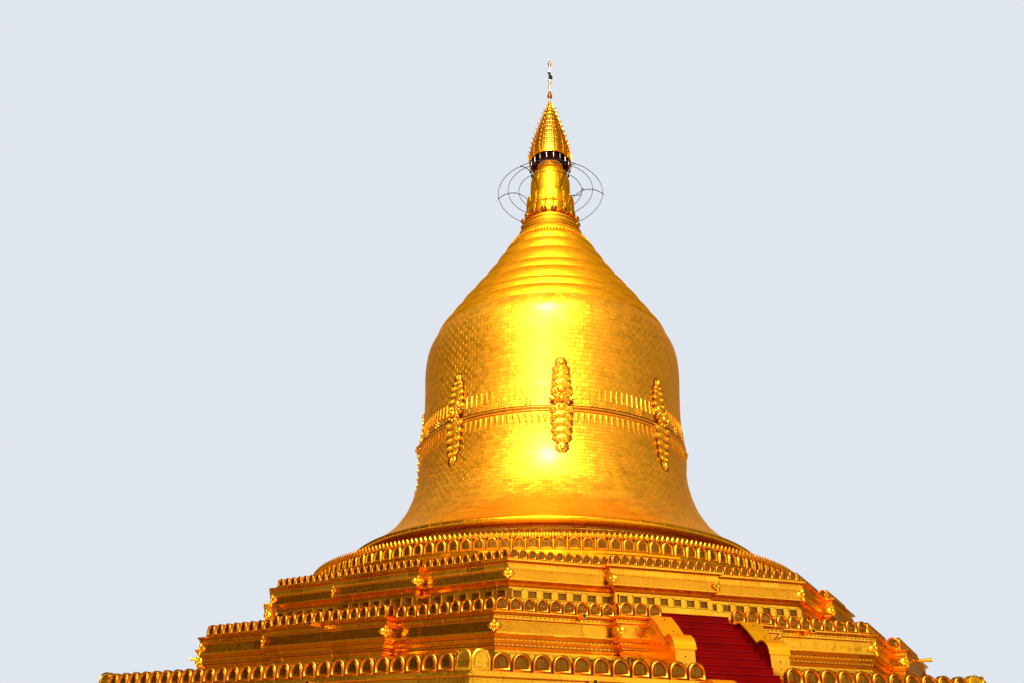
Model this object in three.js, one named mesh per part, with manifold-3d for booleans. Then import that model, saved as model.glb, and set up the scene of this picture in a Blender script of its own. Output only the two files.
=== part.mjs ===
// A gilded stupa: three octagonal terraces with stairs, a bell on a round plinth,
// a ringed cone, a lotus drum, a bud, a hollow umbrella crown and a staff with a wind vane.
// Millimetres, +Z up, the axis of the bell on the Z axis and the ground at z = 0.
import * as THREE from 'three';
import { mergeVertices } from 'three/addons/utils/BufferGeometryUtils.js';
import Module from 'manifold-3d';

const wasm = await Module();
wasm.setup();

// Gap left between pieces that touch.
const SEAT = 0.3;
const SIDES = 8;
const SIDE_TURN = Math.PI / 4;

// Stairs: riser height, steps in each flight and the level of each terrace floor.
const RISER = 200;
const LOWER_STEPS = 17;
const MIDDLE_STEPS = 9;
const LOWER_FLOOR = RISER * LOWER_STEPS;
const MIDDLE_FLOOR = LOWER_FLOOR + RISER * MIDDLE_STEPS;
const UPPER_FLOOR = 6900;
const STAIR_HALF = 950;
const CHEEK_WIDTH = 480;
const LOWER_TREAD = 270;
const MIDDLE_TREAD = 260;

// Octagonal walls: distance of the frieze face from the axis, and the middle bay of each side.
const LOWER_WALL = 15085;
const MIDDLE_WALL = 12610;
const UPPER_WALL = 10800;
const MIDDLE_BAY = { half: 2180, out: 370 };
const UPPER_BAY = { half: 1600, out: 260 };

// Parapets: front face behind the frieze face, thickness, joint to the floor behind, and the
// height of base and top.
const PARAPET_SETBACK = 80;
const PARAPET_THICK = 170;
const FLOOR_JOINT = 40;
const LOWER_PARAPET = { base: 3300, top: 3770 };
const MIDDLE_PARAPET = { base: 4980, top: 5370 };
const UPPER_PARAPET = { base: 6700, top: 7030 };

// Flights: distance from the axis of the top riser, and how far the top tread runs inwards.
const LOWER_TOP_RISER = 15000;
const MIDDLE_TOP_RISER = 12720;
const TOP_TREAD = 270;

// Bell: turned in this many flats, with the level of each joint between its pieces.
const BELL_FLATS = 48;
const BELL_STEPS = 8;
const PLINTH_TOP = 8020;
const RIM_TOP = 8990;
const BAND = { bottom: 13700, top: 13930, radius: 5925 };
const CONE_BOTTOM = 19250;
const CONE_FLATS = 36;
const LOTUS_BOTTOM = 26700;
const DRUM_FLATS = 28;
const BUD_BOTTOM = 28550;
const CORE_BOTTOM = 30520;

// Ornaments on the bell: eight, the first turned this far from the front stair.
const ORNAMENTS = 8;
const ORNAMENT_TURN = THREE.MathUtils.degToRad(-12.8);
const ORNAMENT = { bottom: 12030, top: 15970, half: 400, depth: 190, seat: 5850, rows: 6, flats: 8 };

// Hoops of lamps round the bud, on six arched arms that stand on a collar.
const HOOPS = [['inner', 1700], ['middle', 2290], ['outer', 2810]];
const HOOP_THICK = 24;
const HOOP_FLATS = 36;
const ARM_THICK = 34;
const ARM_STEPS = 10;
const ARMS = 6;
const ARM_TURN = THREE.MathUtils.degToRad(40.4);
const COLLAR_RING = { inner: 1076, outer: 1130, top: BUD_BOTTOM + 50 };
const ARM_START = [1100, BUD_BOTTOM + 30];
const ARM_PEAK = [1950, 29820];
const ARM_END = [2950, 28780];

// Umbrella crown, hollow and open at its foot: [radius, height] up its outside, wall and ceiling.
const CROWN_LINE = [[1147, 31130], [1145, 31560], [980, 32570], [670, 33750], [328, 34970], [95, 35750]];
const CROWN_TIERS = 8;
const CROWN_STEP = 22;
const CROWN_WALL = 65;
const CROWN_CEILING = 34900;
const CROWN_TOP = 35750;
const CROWN_FLATS = 24;

// Staff, vane and diamond bud.
const STAFF_RADIUS = 42;
const ONION = { bottom: 36100, top: 36700, radius: 140 };
const STAFF_TOP = 38770;
const VANE = { bottom: 37600, top: 38240, reach: 340, tail: 210, thick: 16, bore: 47, sleeve: 66 };
const VANE_TURN = THREE.MathUtils.degToRad(40);
const COLLAR = { height: 60, radius: 95 };
const DIAMOND = { radius: 120, widest: 39000, top: 39370 };

// Cheek walls beside the flights: ends of the coping, and the round-topped block at its foot.
const MIDDLE_CHEEK = { root: 12500, top: 4960, bend: 13300, block: 14180, spring: 4100, round: 320 };
const LOWER_CHEEK = { root: 14900, top: 3260, block: 16000, spring: 2880, round: 400 };
const LOWER_END = { block: 19200, spring: 620, round: 360 };

// Stairs stand on the front and the back; the turn is from the front, along -Y.
const STAIRS = [['front', 0], ['back', Math.PI]];
const PARAPET_QUARTERS = ['front_right', 'right_back', 'back_left', 'left_front'];
const PARAPET_GAP = 20;

// How deep a terrace's floor slab and a flight's well reach, and the clear height over a flight.
const WELL_DEPTH = 1500;
const HEADROOM = 2000;
const WELL_REACH = 8000;

// How far a cutting block runs past what it cuts, and a length larger than the whole object.
const OVERCUT = 1000;
const FAR = 60000;

// Lower part of the bell, flaring to the rim.
const FLARE = [
  [8120, RIM_TOP + SEAT],
  [7390, 9480],
  [6830, 10000],
  [6480, 10500],
  [6190, 11050],
  [5930, 11900],
  [5830, 12700],
  [5860, BAND.bottom],
];

// Upper part of the bell, from the band to the shoulder.
const SHOULDER = [
  [5860, BAND.top + SEAT],
  [5790, 15200],
  [5830, 16500],
  [5900, 17700],
  [5830, 18600],
  [5560, CONE_BOTTOM],
];

// Grooves of the ringed cone as [radius, height], from the shoulder up to the lotus.
const GROOVES = [
  [5550, CONE_BOTTOM + SEAT],
  [5080, 20050],
  [4700, 20680],
  [4120, 21650],
  [3560, 22450],
  [2900, 23600],
  [2420, 24480],
  [2080, 25150],
];

const gold = { color: 0xe79a12, roughness: 0.3, metalness: 1 };
const paleGold = { color: 0xf2c65a, roughness: 0.28, metalness: 1 };
const brownCore = { color: 0x5a1d0c, roughness: 0.7, metalness: 0 };
const redPaint = { color: 0x8f0505, roughness: 0.75, metalness: 0 };
const darkIron = { color: 0x20201c, roughness: 0.6, metalness: 0.6 };

const stupa = new THREE.Group();

// Adds a named piece with a material of its own.
function piece(name, geometry, look) {
  geometry.computeVertexNormals();
  const mesh = new THREE.Mesh(geometry, new THREE.MeshStandardMaterial(look));
  mesh.name = name;
  stupa.add(mesh);
  return mesh;
}

// A closed geometry as a solid that can be joined and cut.
function solid(geometry) {
  const bare = geometry.index ? geometry.toNonIndexed() : geometry.clone();
  bare.deleteAttribute('normal');
  bare.deleteAttribute('uv');
  const merged = mergeVertices(bare, 0.01);
  return new wasm.Manifold(new wasm.Mesh({
    numProp: 3,
    vertProperties: new Float32Array(merged.attributes.position.array),
    triVerts: new Uint32Array(merged.index.array),
  }));
}

// A joined or cut solid as a geometry again.
function surface(body) {
  const mesh = body.getMesh();
  const geometry = new THREE.BufferGeometry();
  geometry.setAttribute('position', new THREE.BufferAttribute(new Float32Array(mesh.vertProperties), 3));
  geometry.setIndex(new THREE.BufferAttribute(new Uint32Array(mesh.triVerts), 1));
  return geometry;
}

// Turns a profile of [radius, height] points round the axis; it starts and ends on the axis.
function turned(profile, flats) {
  const points = profile.map(([radius, height]) => new THREE.Vector2(radius, height));
  return new THREE.LatheGeometry(points, flats).rotateX(Math.PI / 2);
}

// A flat outline of [across, height] points, made thick along Y about the XZ plane.
function slab(outline, thickness) {
  const shape = new THREE.Shape(outline.map(([across, height]) => new THREE.Vector2(across, height)));
  const geometry = new THREE.ExtrudeGeometry(shape, { depth: thickness, bevelEnabled: false });
  return geometry.translate(0, 0, -thickness / 2).rotateX(Math.PI / 2);
}

// A wall profile of [outward offset, height] points as a symmetric outline at a distance from the axis.
function mirrored(profile, distance) {
  const right = profile.map(([offset, height]) => [distance + offset, height]);
  const left = profile.map(([offset, height]) => [-distance - offset, height]);
  return right.concat(left.reverse());
}

// A block whose profile runs round all four of its upright sides.
function mouldedBlock(profile, halfLength, halfWidth) {
  const reach = 2 * (Math.max(halfLength, halfWidth) + OVERCUT);
  const ends = solid(slab(mirrored(profile, halfLength), reach));
  const flanks = solid(slab(mirrored(profile, halfWidth), reach).rotateZ(Math.PI / 2));
  return ends.intersect(flanks);
}

// An octagon with the same profile on every side, and where asked a shallow bay in each side.
function mouldedOctagon(profile, distance, bay) {
  const reach = 4 * distance;
  let body = solid(slab(mirrored(profile, distance), reach));
  for (let side = 1; side < SIDES / 2; side += 1) {
    body = body.intersect(solid(slab(mirrored(profile, distance), reach).rotateZ(side * SIDE_TURN)));
  }
  if (bay) {
    const bar = surface(mouldedBlock(profile, distance + bay.out, bay.half));
    for (let side = 0; side < SIDES / 2; side += 1) {
      body = body.add(solid(bar.clone().rotateZ(side * SIDE_TURN)));
    }
  }
  return body;
}

// Mouldings under the panel course, above a floor: plinth, fillet and set-back.
function baseMouldings(floor) {
  return [
    [170, floor],
    [170, floor + 130],
    [20, floor + 210],
    [20, floor + 260],
    [-200, floor + 300],
  ];
}

// Lower terrace: a tall plinth in two steps, panel course, three receding fillets, frieze, cornice.
function lowerTerraceProfile() {
  const top = LOWER_PARAPET.base;
  return [
    [620, 0],
    [620, 420],
    [520, 500],
    [520, 640],
    [330, 800],
    [330, 900],
    [60, 1080],
    [60, 1180],
    [-200, 1260],
    [-200, top - 830],
    [-130, top - 740],
    [-130, top - 700],
    [-70, top - 620],
    [-70, top - 580],
    [30, top - 500],
    [0, top - 460],
    [0, top - 210],
    [70, top - 190],
    [70, top - 60],
    [170, top - 40],
    [170, top],
  ];
}

// Middle terrace: panel course, three receding fillets under the frieze, and the cornice.
function middleTerraceProfile() {
  const top = MIDDLE_PARAPET.base;
  return [
    ...baseMouldings(LOWER_FLOOR),
    [-200, top - 830],
    [-130, top - 730],
    [-130, top - 690],
    [-70, top - 620],
    [-70, top - 580],
    [30, top - 490],
    [0, top - 450],
    [0, top - 190],
    [70, top - 150],
    [70, top - 60],
    [170, top - 10],
    [170, top],
  ];
}

// Upper terrace: panel course, one wide sloping moulding, frieze, fascia and cornice.
function upperTerraceProfile() {
  const top = UPPER_PARAPET.base;
  return [
    ...baseMouldings(MIDDLE_FLOOR),
    [-200, top - 670],
    [-130, top - 580],
    [-10, top - 510],
    [0, top - 280],
    [40, top - 260],
    [50, top - 80],
    [160, top - 45],
    [160, top],
  ];
}

// Floor behind a parapet, standing above its cornice, with a joint all round.
function floorSlab(wallDistance, bottom, top) {
  const edge = wallDistance - PARAPET_SETBACK - PARAPET_THICK - FLOOR_JOINT;
  return mouldedOctagon([[0, bottom], [0, top]], edge, null);
}

// Outline of a flight from the side, as [distance from the axis, height].
function flightOutline(steps, tread, topRiser, floor, foot) {
  const outline = [[topRiser - TOP_TREAD, foot]];
  const outer = topRiser + tread * (steps - 1);
  outline.push([outer, foot]);
  for (let step = 0; step < steps; step += 1) {
    const face = outer - tread * step;
    const height = foot + RISER * (step + 1);
    outline.push([face, height]);
    if (step < steps - 1) {
      outline.push([face - tread, height]);
    }
  }
  outline.push([topRiser - TOP_TREAD, floor]);
  return outline;
}

// Points of an arc between two angles, in degrees, about a centre.
function arcPoints(centre, radius, from, to, steps) {
  const points = [];
  for (let step = 0; step <= steps; step += 1) {
    const angle = THREE.MathUtils.degToRad(from + ((to - from) * step) / steps);
    points.push([centre[0] + radius * Math.cos(angle), centre[1] + radius * Math.sin(angle)]);
  }
  return points;
}

// Cheek wall of the flight up to the middle terrace: coping, then a round-topped block.
function middleCheekOutline() {
  const { root, top, bend, block, spring, round } = MIDDLE_CHEEK;
  return [
    [root, LOWER_FLOOR - 5],
    [block + round, LOWER_FLOOR - 5],
    ...arcPoints([block, spring], round, 0, 120, 6),
    [bend + 330, 4720],
    [bend, top],
    [root, top],
  ];
}

// Cheek wall of the flight from the ground: upper block, coping and end block.
function lowerCheekOutline() {
  const { root, top, block, spring, round } = LOWER_CHEEK;
  return [
    [root, 0],
    [LOWER_END.block + LOWER_END.round, 0],
    ...arcPoints([LOWER_END.block, LOWER_END.spring], LOWER_END.round, 0, 135, 6),
    [block + round, spring - 250],
    ...arcPoints([block, spring], round, 0, 90, 5),
    [block - round - 200, top],
    [root, top],
  ];
}

// A slab standing across the front stair: its outline lies in the plane of the stair's rise.
function acrossFront(outline, width) {
  return slab(outline, width).rotateZ(-Math.PI / 2);
}

// Joins the cheek walls on both sides of each stair to a terrace.
function withCheeks(terrace, outline) {
  const shift = STAIR_HALF + CHEEK_WIDTH / 2;
  let body = terrace;
  for (const [, turn] of STAIRS) {
    for (const hand of [-1, 1]) {
      const cheek = acrossFront(outline, CHEEK_WIDTH).translate(hand * shift, 0, 0);
      body = body.add(solid(cheek.rotateZ(turn)));
    }
  }
  return body;
}

// Cuts the wells in which the flights stand.
function withWells(terrace, topRiser, foot, ceiling) {
  const inner = topRiser - TOP_TREAD - SEAT;
  const outer = topRiser + WELL_REACH;
  const outline = [[inner, foot], [outer, foot], [outer, ceiling], [inner, ceiling]];
  let body = terrace;
  for (const [, turn] of STAIRS) {
    const well = acrossFront(outline, 2 * STAIR_HALF).rotateZ(turn);
    body = body.subtract(solid(well));
  }
  return body;
}

// Cuts one terrace flat on the floor of the terrace below it.
function standingOn(terrace, floor) {
  const below = slab([[-FAR, -FAR], [FAR, -FAR], [FAR, floor + SEAT], [-FAR, floor + SEAT]], 2 * FAR);
  return terrace.subtract(solid(below));
}

function makeTerraces() {
  let lower = mouldedOctagon(lowerTerraceProfile(), LOWER_WALL, null);
  lower = lower.add(floorSlab(LOWER_WALL, LOWER_PARAPET.base - WELL_DEPTH, LOWER_FLOOR));
  lower = withCheeks(lower, lowerCheekOutline());
  lower = withWells(lower, LOWER_TOP_RISER, -OVERCUT, LOWER_FLOOR + HEADROOM);
  piece('lower_terrace', surface(lower), gold);

  let middle = mouldedOctagon(middleTerraceProfile(), MIDDLE_WALL, MIDDLE_BAY);
  middle = middle.add(floorSlab(MIDDLE_WALL, MIDDLE_PARAPET.base - WELL_DEPTH, MIDDLE_FLOOR));
  middle = withCheeks(middle, middleCheekOutline());
  middle = withWells(middle, MIDDLE_TOP_RISER, LOWER_FLOOR - OVERCUT, MIDDLE_FLOOR + HEADROOM);
  piece('middle_terrace', surface(standingOn(middle, LOWER_FLOOR)), gold);

  let upper = mouldedOctagon(upperTerraceProfile(), UPPER_WALL, UPPER_BAY);
  upper = upper.add(floorSlab(UPPER_WALL, UPPER_PARAPET.base - WELL_DEPTH, UPPER_FLOOR));
  piece('upper_terrace', surface(standingOn(upper, MIDDLE_FLOOR)), gold);
}

function makeStairs() {
  const width = 2 * (STAIR_HALF - SEAT);
  const lower = flightOutline(LOWER_STEPS, LOWER_TREAD, LOWER_TOP_RISER, LOWER_FLOOR, 0);
  const foot = LOWER_FLOOR + SEAT;
  const middle = flightOutline(MIDDLE_STEPS, MIDDLE_TREAD, MIDDLE_TOP_RISER, MIDDLE_FLOOR, LOWER_FLOOR);
  const seated = middle.map(([distance, height]) => [distance, Math.max(height, foot)]);
  for (const [name, turn] of STAIRS) {
    piece(`lower_stair_${name}`, acrossFront(lower, width).rotateZ(turn), redPaint);
    piece(`middle_stair_${name}`, acrossFront(seated, width).rotateZ(turn), redPaint);
  }
}

// The full ring of a parapet, following the bays of its terrace.
function parapetRing(wallDistance, bay, base, top) {
  const face = wallDistance - PARAPET_SETBACK;
  const profile = [[0, base + SEAT], [0, top]];
  const hollow = [[0, base - OVERCUT], [0, top + OVERCUT]];
  const outerBay = bay && { half: bay.half - PARAPET_SETBACK, out: bay.out };
  const innerBay = bay && { half: bay.half - PARAPET_SETBACK - PARAPET_THICK, out: bay.out };
  const outside = mouldedOctagon(profile, face, outerBay);
  return outside.subtract(mouldedOctagon(hollow, face - PARAPET_THICK, innerBay));
}

// One quarter of a parapet ring, from the middle of one side to the middle of the next but one.
// Even quarters start at a stair, odd ones end at a stair.
function parapetQuarter(ring, index) {
  const atStair = STAIR_HALF + PARAPET_GAP;
  const atSeam = SEAT / 2;
  const [start, end] = index % 2 === 0 ? [atStair, atSeam] : [atSeam, atStair];
  const corner = new THREE.Shape([
    new THREE.Vector2(start, -end),
    new THREE.Vector2(start, -FAR),
    new THREE.Vector2(FAR, -FAR),
    new THREE.Vector2(FAR, -end),
  ]);
  const block = new THREE.ExtrudeGeometry(corner, { depth: FAR, bevelEnabled: false });
  return ring.intersect(solid(block.rotateZ((index * Math.PI) / 2)));
}

function makeParapets() {
  const lower = parapetRing(LOWER_WALL, null, LOWER_PARAPET.base, LOWER_PARAPET.top);
  const middle = parapetRing(MIDDLE_WALL, MIDDLE_BAY, MIDDLE_PARAPET.base, MIDDLE_PARAPET.top);
  PARAPET_QUARTERS.forEach((name, index) => {
    piece(`lower_parapet_${name}`, surface(parapetQuarter(lower, index)), gold);
    piece(`middle_parapet_${name}`, surface(parapetQuarter(middle, index)), gold);
  });
  const upper = parapetRing(UPPER_WALL, UPPER_BAY, UPPER_PARAPET.base, UPPER_PARAPET.top);
  piece('upper_parapet', surface(upper), gold);
}

// Points along a smooth curve through a few [radius, height] points.
function smooth(points, steps) {
  const curve = new THREE.SplineCurve(points.map(([radius, height]) => new THREE.Vector2(radius, height)));
  return curve.getPoints(steps).map((point) => [point.x, point.y]);
}

// One bulging ring between two [radius, height] points, without its last point.
function bulge(from, to, swell, steps) {
  const start = new THREE.Vector2(...from);
  const end = new THREE.Vector2(...to);
  const along = end.clone().sub(start);
  const outward = new THREE.Vector2(along.y, -along.x).normalize();
  const middle = start.clone().add(end).multiplyScalar(0.5).addScaledVector(outward, 2 * swell);
  const curve = new THREE.QuadraticBezierCurve(start, middle, end);
  return curve.getPoints(steps).slice(0, -1).map((point) => [point.x, point.y]);
}

function makeBell() {
  const plinth = [
    [0, UPPER_FLOOR + SEAT], [9750, UPPER_FLOOR + SEAT], [9750, 7350], [9640, 7420],
    [9640, 7490], [9520, 7520], [9520, 7860], [9580, 7900], [9580, PLINTH_TOP], [0, PLINTH_TOP],
  ];
  piece('bell_plinth', turned(plinth, BELL_FLATS), gold);

  const rim = [
    [0, PLINTH_TOP + SEAT], [9250, PLINTH_TOP + SEAT], [9250, 8080],
    ...bulge([9150, 8090], [8020, 8740], -170, 4),
    [8020, 8740], [8200, 8780], [8250, 8860], [8240, 8930], [8160, RIM_TOP], [0, RIM_TOP],
  ];
  piece('bell_rim', turned(rim, BELL_FLATS), gold);

  const lowerBell = [[0, RIM_TOP + SEAT], ...smooth(FLARE, BELL_STEPS), [0, BAND.bottom]];
  piece('bell_lower', turned(lowerBell, BELL_FLATS), gold);

  const band = [
    [0, BAND.bottom + SEAT], [BAND.radius, BAND.bottom + SEAT], [BAND.radius, BAND.top], [0, BAND.top],
  ];
  piece('bell_band', turned(band, BELL_FLATS), gold);

  const upperBell = [[0, BAND.top + SEAT], ...smooth(SHOULDER, BELL_STEPS), [0, CONE_BOTTOM]];
  piece('bell_upper', turned(upperBell, BELL_FLATS), gold);
}

function makeRingedCone() {
  const rings = [];
  for (let index = 0; index < GROOVES.length - 1; index += 1) {
    rings.push(...bulge(GROOVES[index], GROOVES[index + 1], 45, 2));
  }
  const profile = [
    [0, CONE_BOTTOM + SEAT], ...rings,
    [2080, 25150], [2080, 25330],
    ...bulge([1960, 25340], [1700, 25900], 40, 2),
    [1700, 25900], [1640, 26100], [1480, 26480], [1450, LOTUS_BOTTOM], [0, LOTUS_BOTTOM],
  ];
  piece('ringed_cone', turned(profile, CONE_FLATS), gold);
}

// Slender spindles on the bell, cut to its curve and over its band.
function makeOrnaments() {
  const lowest = ORNAMENT.bottom - OVERCUT;
  const highest = ORNAMENT.top + OVERCUT;
  const cutter = [
    [0, lowest],
    ...smooth(FLARE, BELL_STEPS).filter(([, height]) => height > lowest && height < BAND.bottom - 1)
      .map(([radius, height]) => [radius + SEAT, height]),
    [5860 + SEAT, BAND.bottom - SEAT],
    [BAND.radius + SEAT, BAND.bottom - SEAT],
    [BAND.radius + SEAT, BAND.top + 2 * SEAT],
    ...smooth(SHOULDER, BELL_STEPS).filter(([, height]) => height > BAND.top + 1 && height < highest)
      .map(([radius, height]) => [radius + SEAT, height]),
    [0, highest],
  ];
  const bell = solid(turned(cutter, BELL_FLATS));
  const middle = (ORNAMENT.bottom + ORNAMENT.top) / 2;
  const reach = (ORNAMENT.top - ORNAMENT.bottom) / 2;
  const profile = [];
  for (let row = 0; row <= ORNAMENT.rows; row += 1) {
    const along = -1 + (2 * row) / ORNAMENT.rows;
    profile.push([ORNAMENT.half * Math.sqrt(1 - along * along), middle + reach * along]);
  }
  for (let index = 0; index < ORNAMENTS; index += 1) {
    const spindle = turned(profile, ORNAMENT.flats);
    spindle.scale(1, ORNAMENT.depth / ORNAMENT.half, 1);
    spindle.translate(0, -ORNAMENT.seat, 0).rotateZ(ORNAMENT_TURN + index * SIDE_TURN);
    piece(`bell_ornament_${index + 1}`, surface(solid(spindle).subtract(bell)), gold);
  }
}

function makeLotusAndBud() {
  const lotus = [
    [0, LOTUS_BOTTOM + SEAT], [1400, LOTUS_BOTTOM + SEAT], [1400, 26800], [1290, 26900],
    ...bulge([1280, 26980], [1270, 27660], 45, 3),
    [1210, 27700],
    ...bulge([1250, 27760], [1275, 28480], 30, 3),
    [1265, BUD_BOTTOM], [0, BUD_BOTTOM],
  ];
  piece('lotus_drum', turned(lotus, DRUM_FLATS), gold);

  const side = [[1070, BUD_BOTTOM + SEAT], [1065, 29300], [1040, 29800], [900, 30280], [580, CORE_BOTTOM]];
  piece('bud', turned([[0, BUD_BOTTOM + SEAT], ...smooth(side, 8), [0, CORE_BOTTOM]], DRUM_FLATS), gold);
}

// A flat ring round the axis.
function flatRing(inner, outer, bottom, top, flats) {
  return turned([[inner, bottom], [outer, bottom], [outer, top], [inner, top], [inner, bottom]], flats);
}

// Six arched arms joined to a collar round the foot of the bud, and three hoops lying on the arms.
function makeLampHoops() {
  const arch = new THREE.QuadraticBezierCurve(
    new THREE.Vector2(...ARM_START),
    new THREE.Vector2(...ARM_PEAK),
    new THREE.Vector2(...ARM_END),
  );
  const path = arch.getPoints(ARM_STEPS).map((point) => [point.x, point.y]);
  const above = path.map(([radius, height]) => [radius, height + ARM_THICK / 2]);
  const below = path.map(([radius, height]) => [radius, height - ARM_THICK / 2]);

  const { inner, outer, top } = COLLAR_RING;
  let body = solid(flatRing(inner, outer, BUD_BOTTOM + SEAT, top, DRUM_FLATS));
  for (let index = 0; index < ARMS; index += 1) {
    const arm = slab(below.concat(above.slice().reverse()), ARM_THICK);
    body = body.add(solid(arm.rotateZ(ARM_TURN + (index * 2 * Math.PI) / ARMS)));
  }
  piece('lamp_arms', surface(body), darkIron);

  const half = HOOP_THICK / 2;
  const lean = (ARM_THICK / 2) * Math.tan(Math.PI / HOOP_FLATS);
  for (const [name, radius] of HOOPS) {
    const seat = highestBetween(above, radius - half - lean, radius + half) + SEAT;
    const hoop = flatRing(radius - half, radius + half, seat, seat + HOOP_THICK, HOOP_FLATS);
    piece(`lamp_hoop_${name}`, hoop.rotateZ(ARM_TURN), darkIron);
  }
}

// Height of a line of [distance, height] points at one distance.
function levelAt(line, distance) {
  const next = line.findIndex(([along]) => along > distance);
  const [[fromAlong, from], [toAlong, to]] = [line[next - 1], line[next]];
  return from + ((to - from) * (distance - fromAlong)) / (toAlong - fromAlong);
}

// Greatest height of such a line between two distances.
function highestBetween(line, near, far) {
  const corners = line.filter(([along]) => along > near && along < far).map(([, height]) => height);
  return Math.max(levelAt(line, near), levelAt(line, far), ...corners);
}

function makeCrown() {
  const core = [
    [0, CORE_BOTTOM + SEAT], [640, CORE_BOTTOM + SEAT], [660, 30580], [660, 30850], [620, 30910],
    [500, 30960], [470, 32600], [200, 32800], [110, 32900], [90, CROWN_CEILING - SEAT],
    [0, CROWN_CEILING - SEAT],
  ];
  piece('crown_core', turned(core, CROWN_FLATS), brownCore);

  const edges = smooth(CROWN_LINE, CROWN_TIERS);
  const outside = [];
  for (let tier = 0; tier < CROWN_TIERS; tier += 1) {
    const [radius, height] = edges[tier + 1];
    outside.push(edges[tier], [radius + CROWN_STEP, height - CROWN_STEP]);
  }
  const inside = edges.filter(([, height]) => height < CROWN_CEILING)
    .map(([radius, height]) => [radius - CROWN_WALL, height]).reverse();
  const ceiling = [[0, CROWN_CEILING], [inside[0][0] - 80, CROWN_CEILING]];
  const profile = [...ceiling, ...inside, ...outside, edges[CROWN_TIERS], [0, CROWN_TOP]];
  piece('umbrella_crown', turned(profile, CROWN_FLATS), gold);
}

function makeStaff() {
  const collarTop = VANE.bottom - SEAT;
  const staff = [
    [0, CROWN_TOP + SEAT], [90, CROWN_TOP + SEAT], [60, 35900], [STAFF_RADIUS, 36000],
    [STAFF_RADIUS, ONION.bottom], [90, ONION.bottom + 40], [ONION.radius, 36320], [100, 36520],
    [STAFF_RADIUS, ONION.top], [STAFF_RADIUS, 36950], [80, 37010], [80, 37050], [STAFF_RADIUS, 37110],
    [STAFF_RADIUS, collarTop - COLLAR.height - 30], [COLLAR.radius, collarTop - COLLAR.height],
    [COLLAR.radius, collarTop], [STAFF_RADIUS, collarTop], [STAFF_RADIUS, STAFF_TOP], [0, STAFF_TOP],
  ];
  piece('staff', turned(staff, 12), paleGold);

  const diamond = [
    [0, STAFF_TOP + SEAT], [70, STAFF_TOP + SEAT], [90, 38820], [60, 38860],
    [DIAMOND.radius, DIAMOND.widest], [55, 39150], [25, 39250], [0, DIAMOND.top],
  ];
  piece('diamond_bud', turned(diamond, 12), paleGold);
}

// The wind vane turns freely on the staff, resting on its collar.
function makeVane() {
  const root = VANE.sleeve - 12;
  const blade = [
    [root, VANE.bottom + 60],
    [150, VANE.bottom + 190],
    [VANE.reach, VANE.top - 160],
    [VANE.reach - 60, VANE.top - 110],
    [VANE.reach, VANE.top - 50],
    [root, VANE.top - 30],
  ];
  const tail = [
    [-root, VANE.bottom + 360],
    [-root, VANE.top - 40],
    [-VANE.tail + 40, VANE.top - 50],
    [-VANE.tail, VANE.top - 120],
    [-VANE.tail + 40, VANE.top - 190],
  ];
  const tube = flatRing(VANE.bore, VANE.sleeve, VANE.bottom, VANE.top, 12);
  const body = solid(tube).add(solid(slab(blade, VANE.thick))).add(solid(slab(tail, VANE.thick)));
  piece('wind_vane', surface(body).rotateZ(VANE_TURN), darkIron);
}

makeTerraces();
makeStairs();
makeParapets();
makeBell();
makeRingedCone();
makeOrnaments();
makeLotusAndBud();
makeLampHoops();
makeCrown();
makeStaff();
makeVane();

export default stupa;
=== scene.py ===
from math import atan2, cos, hypot, pi, radians, sin, tan, tau

import bmesh
import bpy
from mathutils import Matrix, Vector
from mathutils.geometry import interpolate_bezier


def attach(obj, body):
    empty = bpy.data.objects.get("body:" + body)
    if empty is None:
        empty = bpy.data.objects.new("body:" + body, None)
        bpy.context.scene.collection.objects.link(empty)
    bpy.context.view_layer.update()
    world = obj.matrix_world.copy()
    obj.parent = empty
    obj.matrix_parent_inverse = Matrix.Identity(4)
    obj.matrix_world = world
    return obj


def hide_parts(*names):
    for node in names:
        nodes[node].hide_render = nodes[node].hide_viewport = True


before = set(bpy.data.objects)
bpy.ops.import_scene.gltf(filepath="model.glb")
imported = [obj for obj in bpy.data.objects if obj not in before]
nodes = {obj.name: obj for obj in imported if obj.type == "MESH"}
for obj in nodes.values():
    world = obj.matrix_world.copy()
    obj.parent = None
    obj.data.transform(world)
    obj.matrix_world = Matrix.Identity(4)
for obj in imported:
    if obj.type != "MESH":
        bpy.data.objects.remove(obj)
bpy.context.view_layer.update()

# Plan of the octagonal terraces, in metres from the axis; stairs stand in front and at the back.
SIDES = 8
STAIRS = 2
SIDE_TURN = pi / 4
CORNER = tan(pi / 8)
STAIR_GAP = 0.97
CHEEK_OUTER = 1.43
CHEEK_INNER = 0.95
SETBACK = 0.08
PIER = 0.42
DADO_DEPTH = 0.2
DADO_PROUD = 0.045
SUNK = 0.02

# Each terrace: wall distance, bay half width and projection, parapet band, merlon width, height
# and depth, panelled course, its squares' low, high, width and pitch, frieze, height of the
# flowers, side and place of each spout, and their height.
LOWER = {
    "name": "lower",
    "wall": 15.085,
    "bay": None,
    "band": (3.31, 3.385),
    "merlon": (0.43, 0.385, 0.13),
    "panels": (1.32, 2.42),
    "square": (1.72, 2.06, 0.34, 0.62),
    "frieze": (2.85, 3.08),
    "flower": 2.97,
    "spouts": ((0, -3.75), (0, 3.75), *((side, spot) for side in (1, 2, 3) for spot in (-2.27, 2.27))),
    "spout": 3.3,
}
MIDDLE = {
    "name": "middle",
    "wall": 12.61,
    "bay": (2.18, 0.37),
    "band": (4.985, 5.045),
    "merlon": (0.332, 0.325, 0.12),
    "panels": (3.74, 4.13),
    "square": (3.82, 4.08, 0.27, 0.44),
    "frieze": (4.54, 4.78),
    "flower": 4.665,
    "spouts": ((0, -3.11), (0, 3.11), (1, 0), (2, 0), (3, 0)),
    "spout": 5.03,
}
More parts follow.
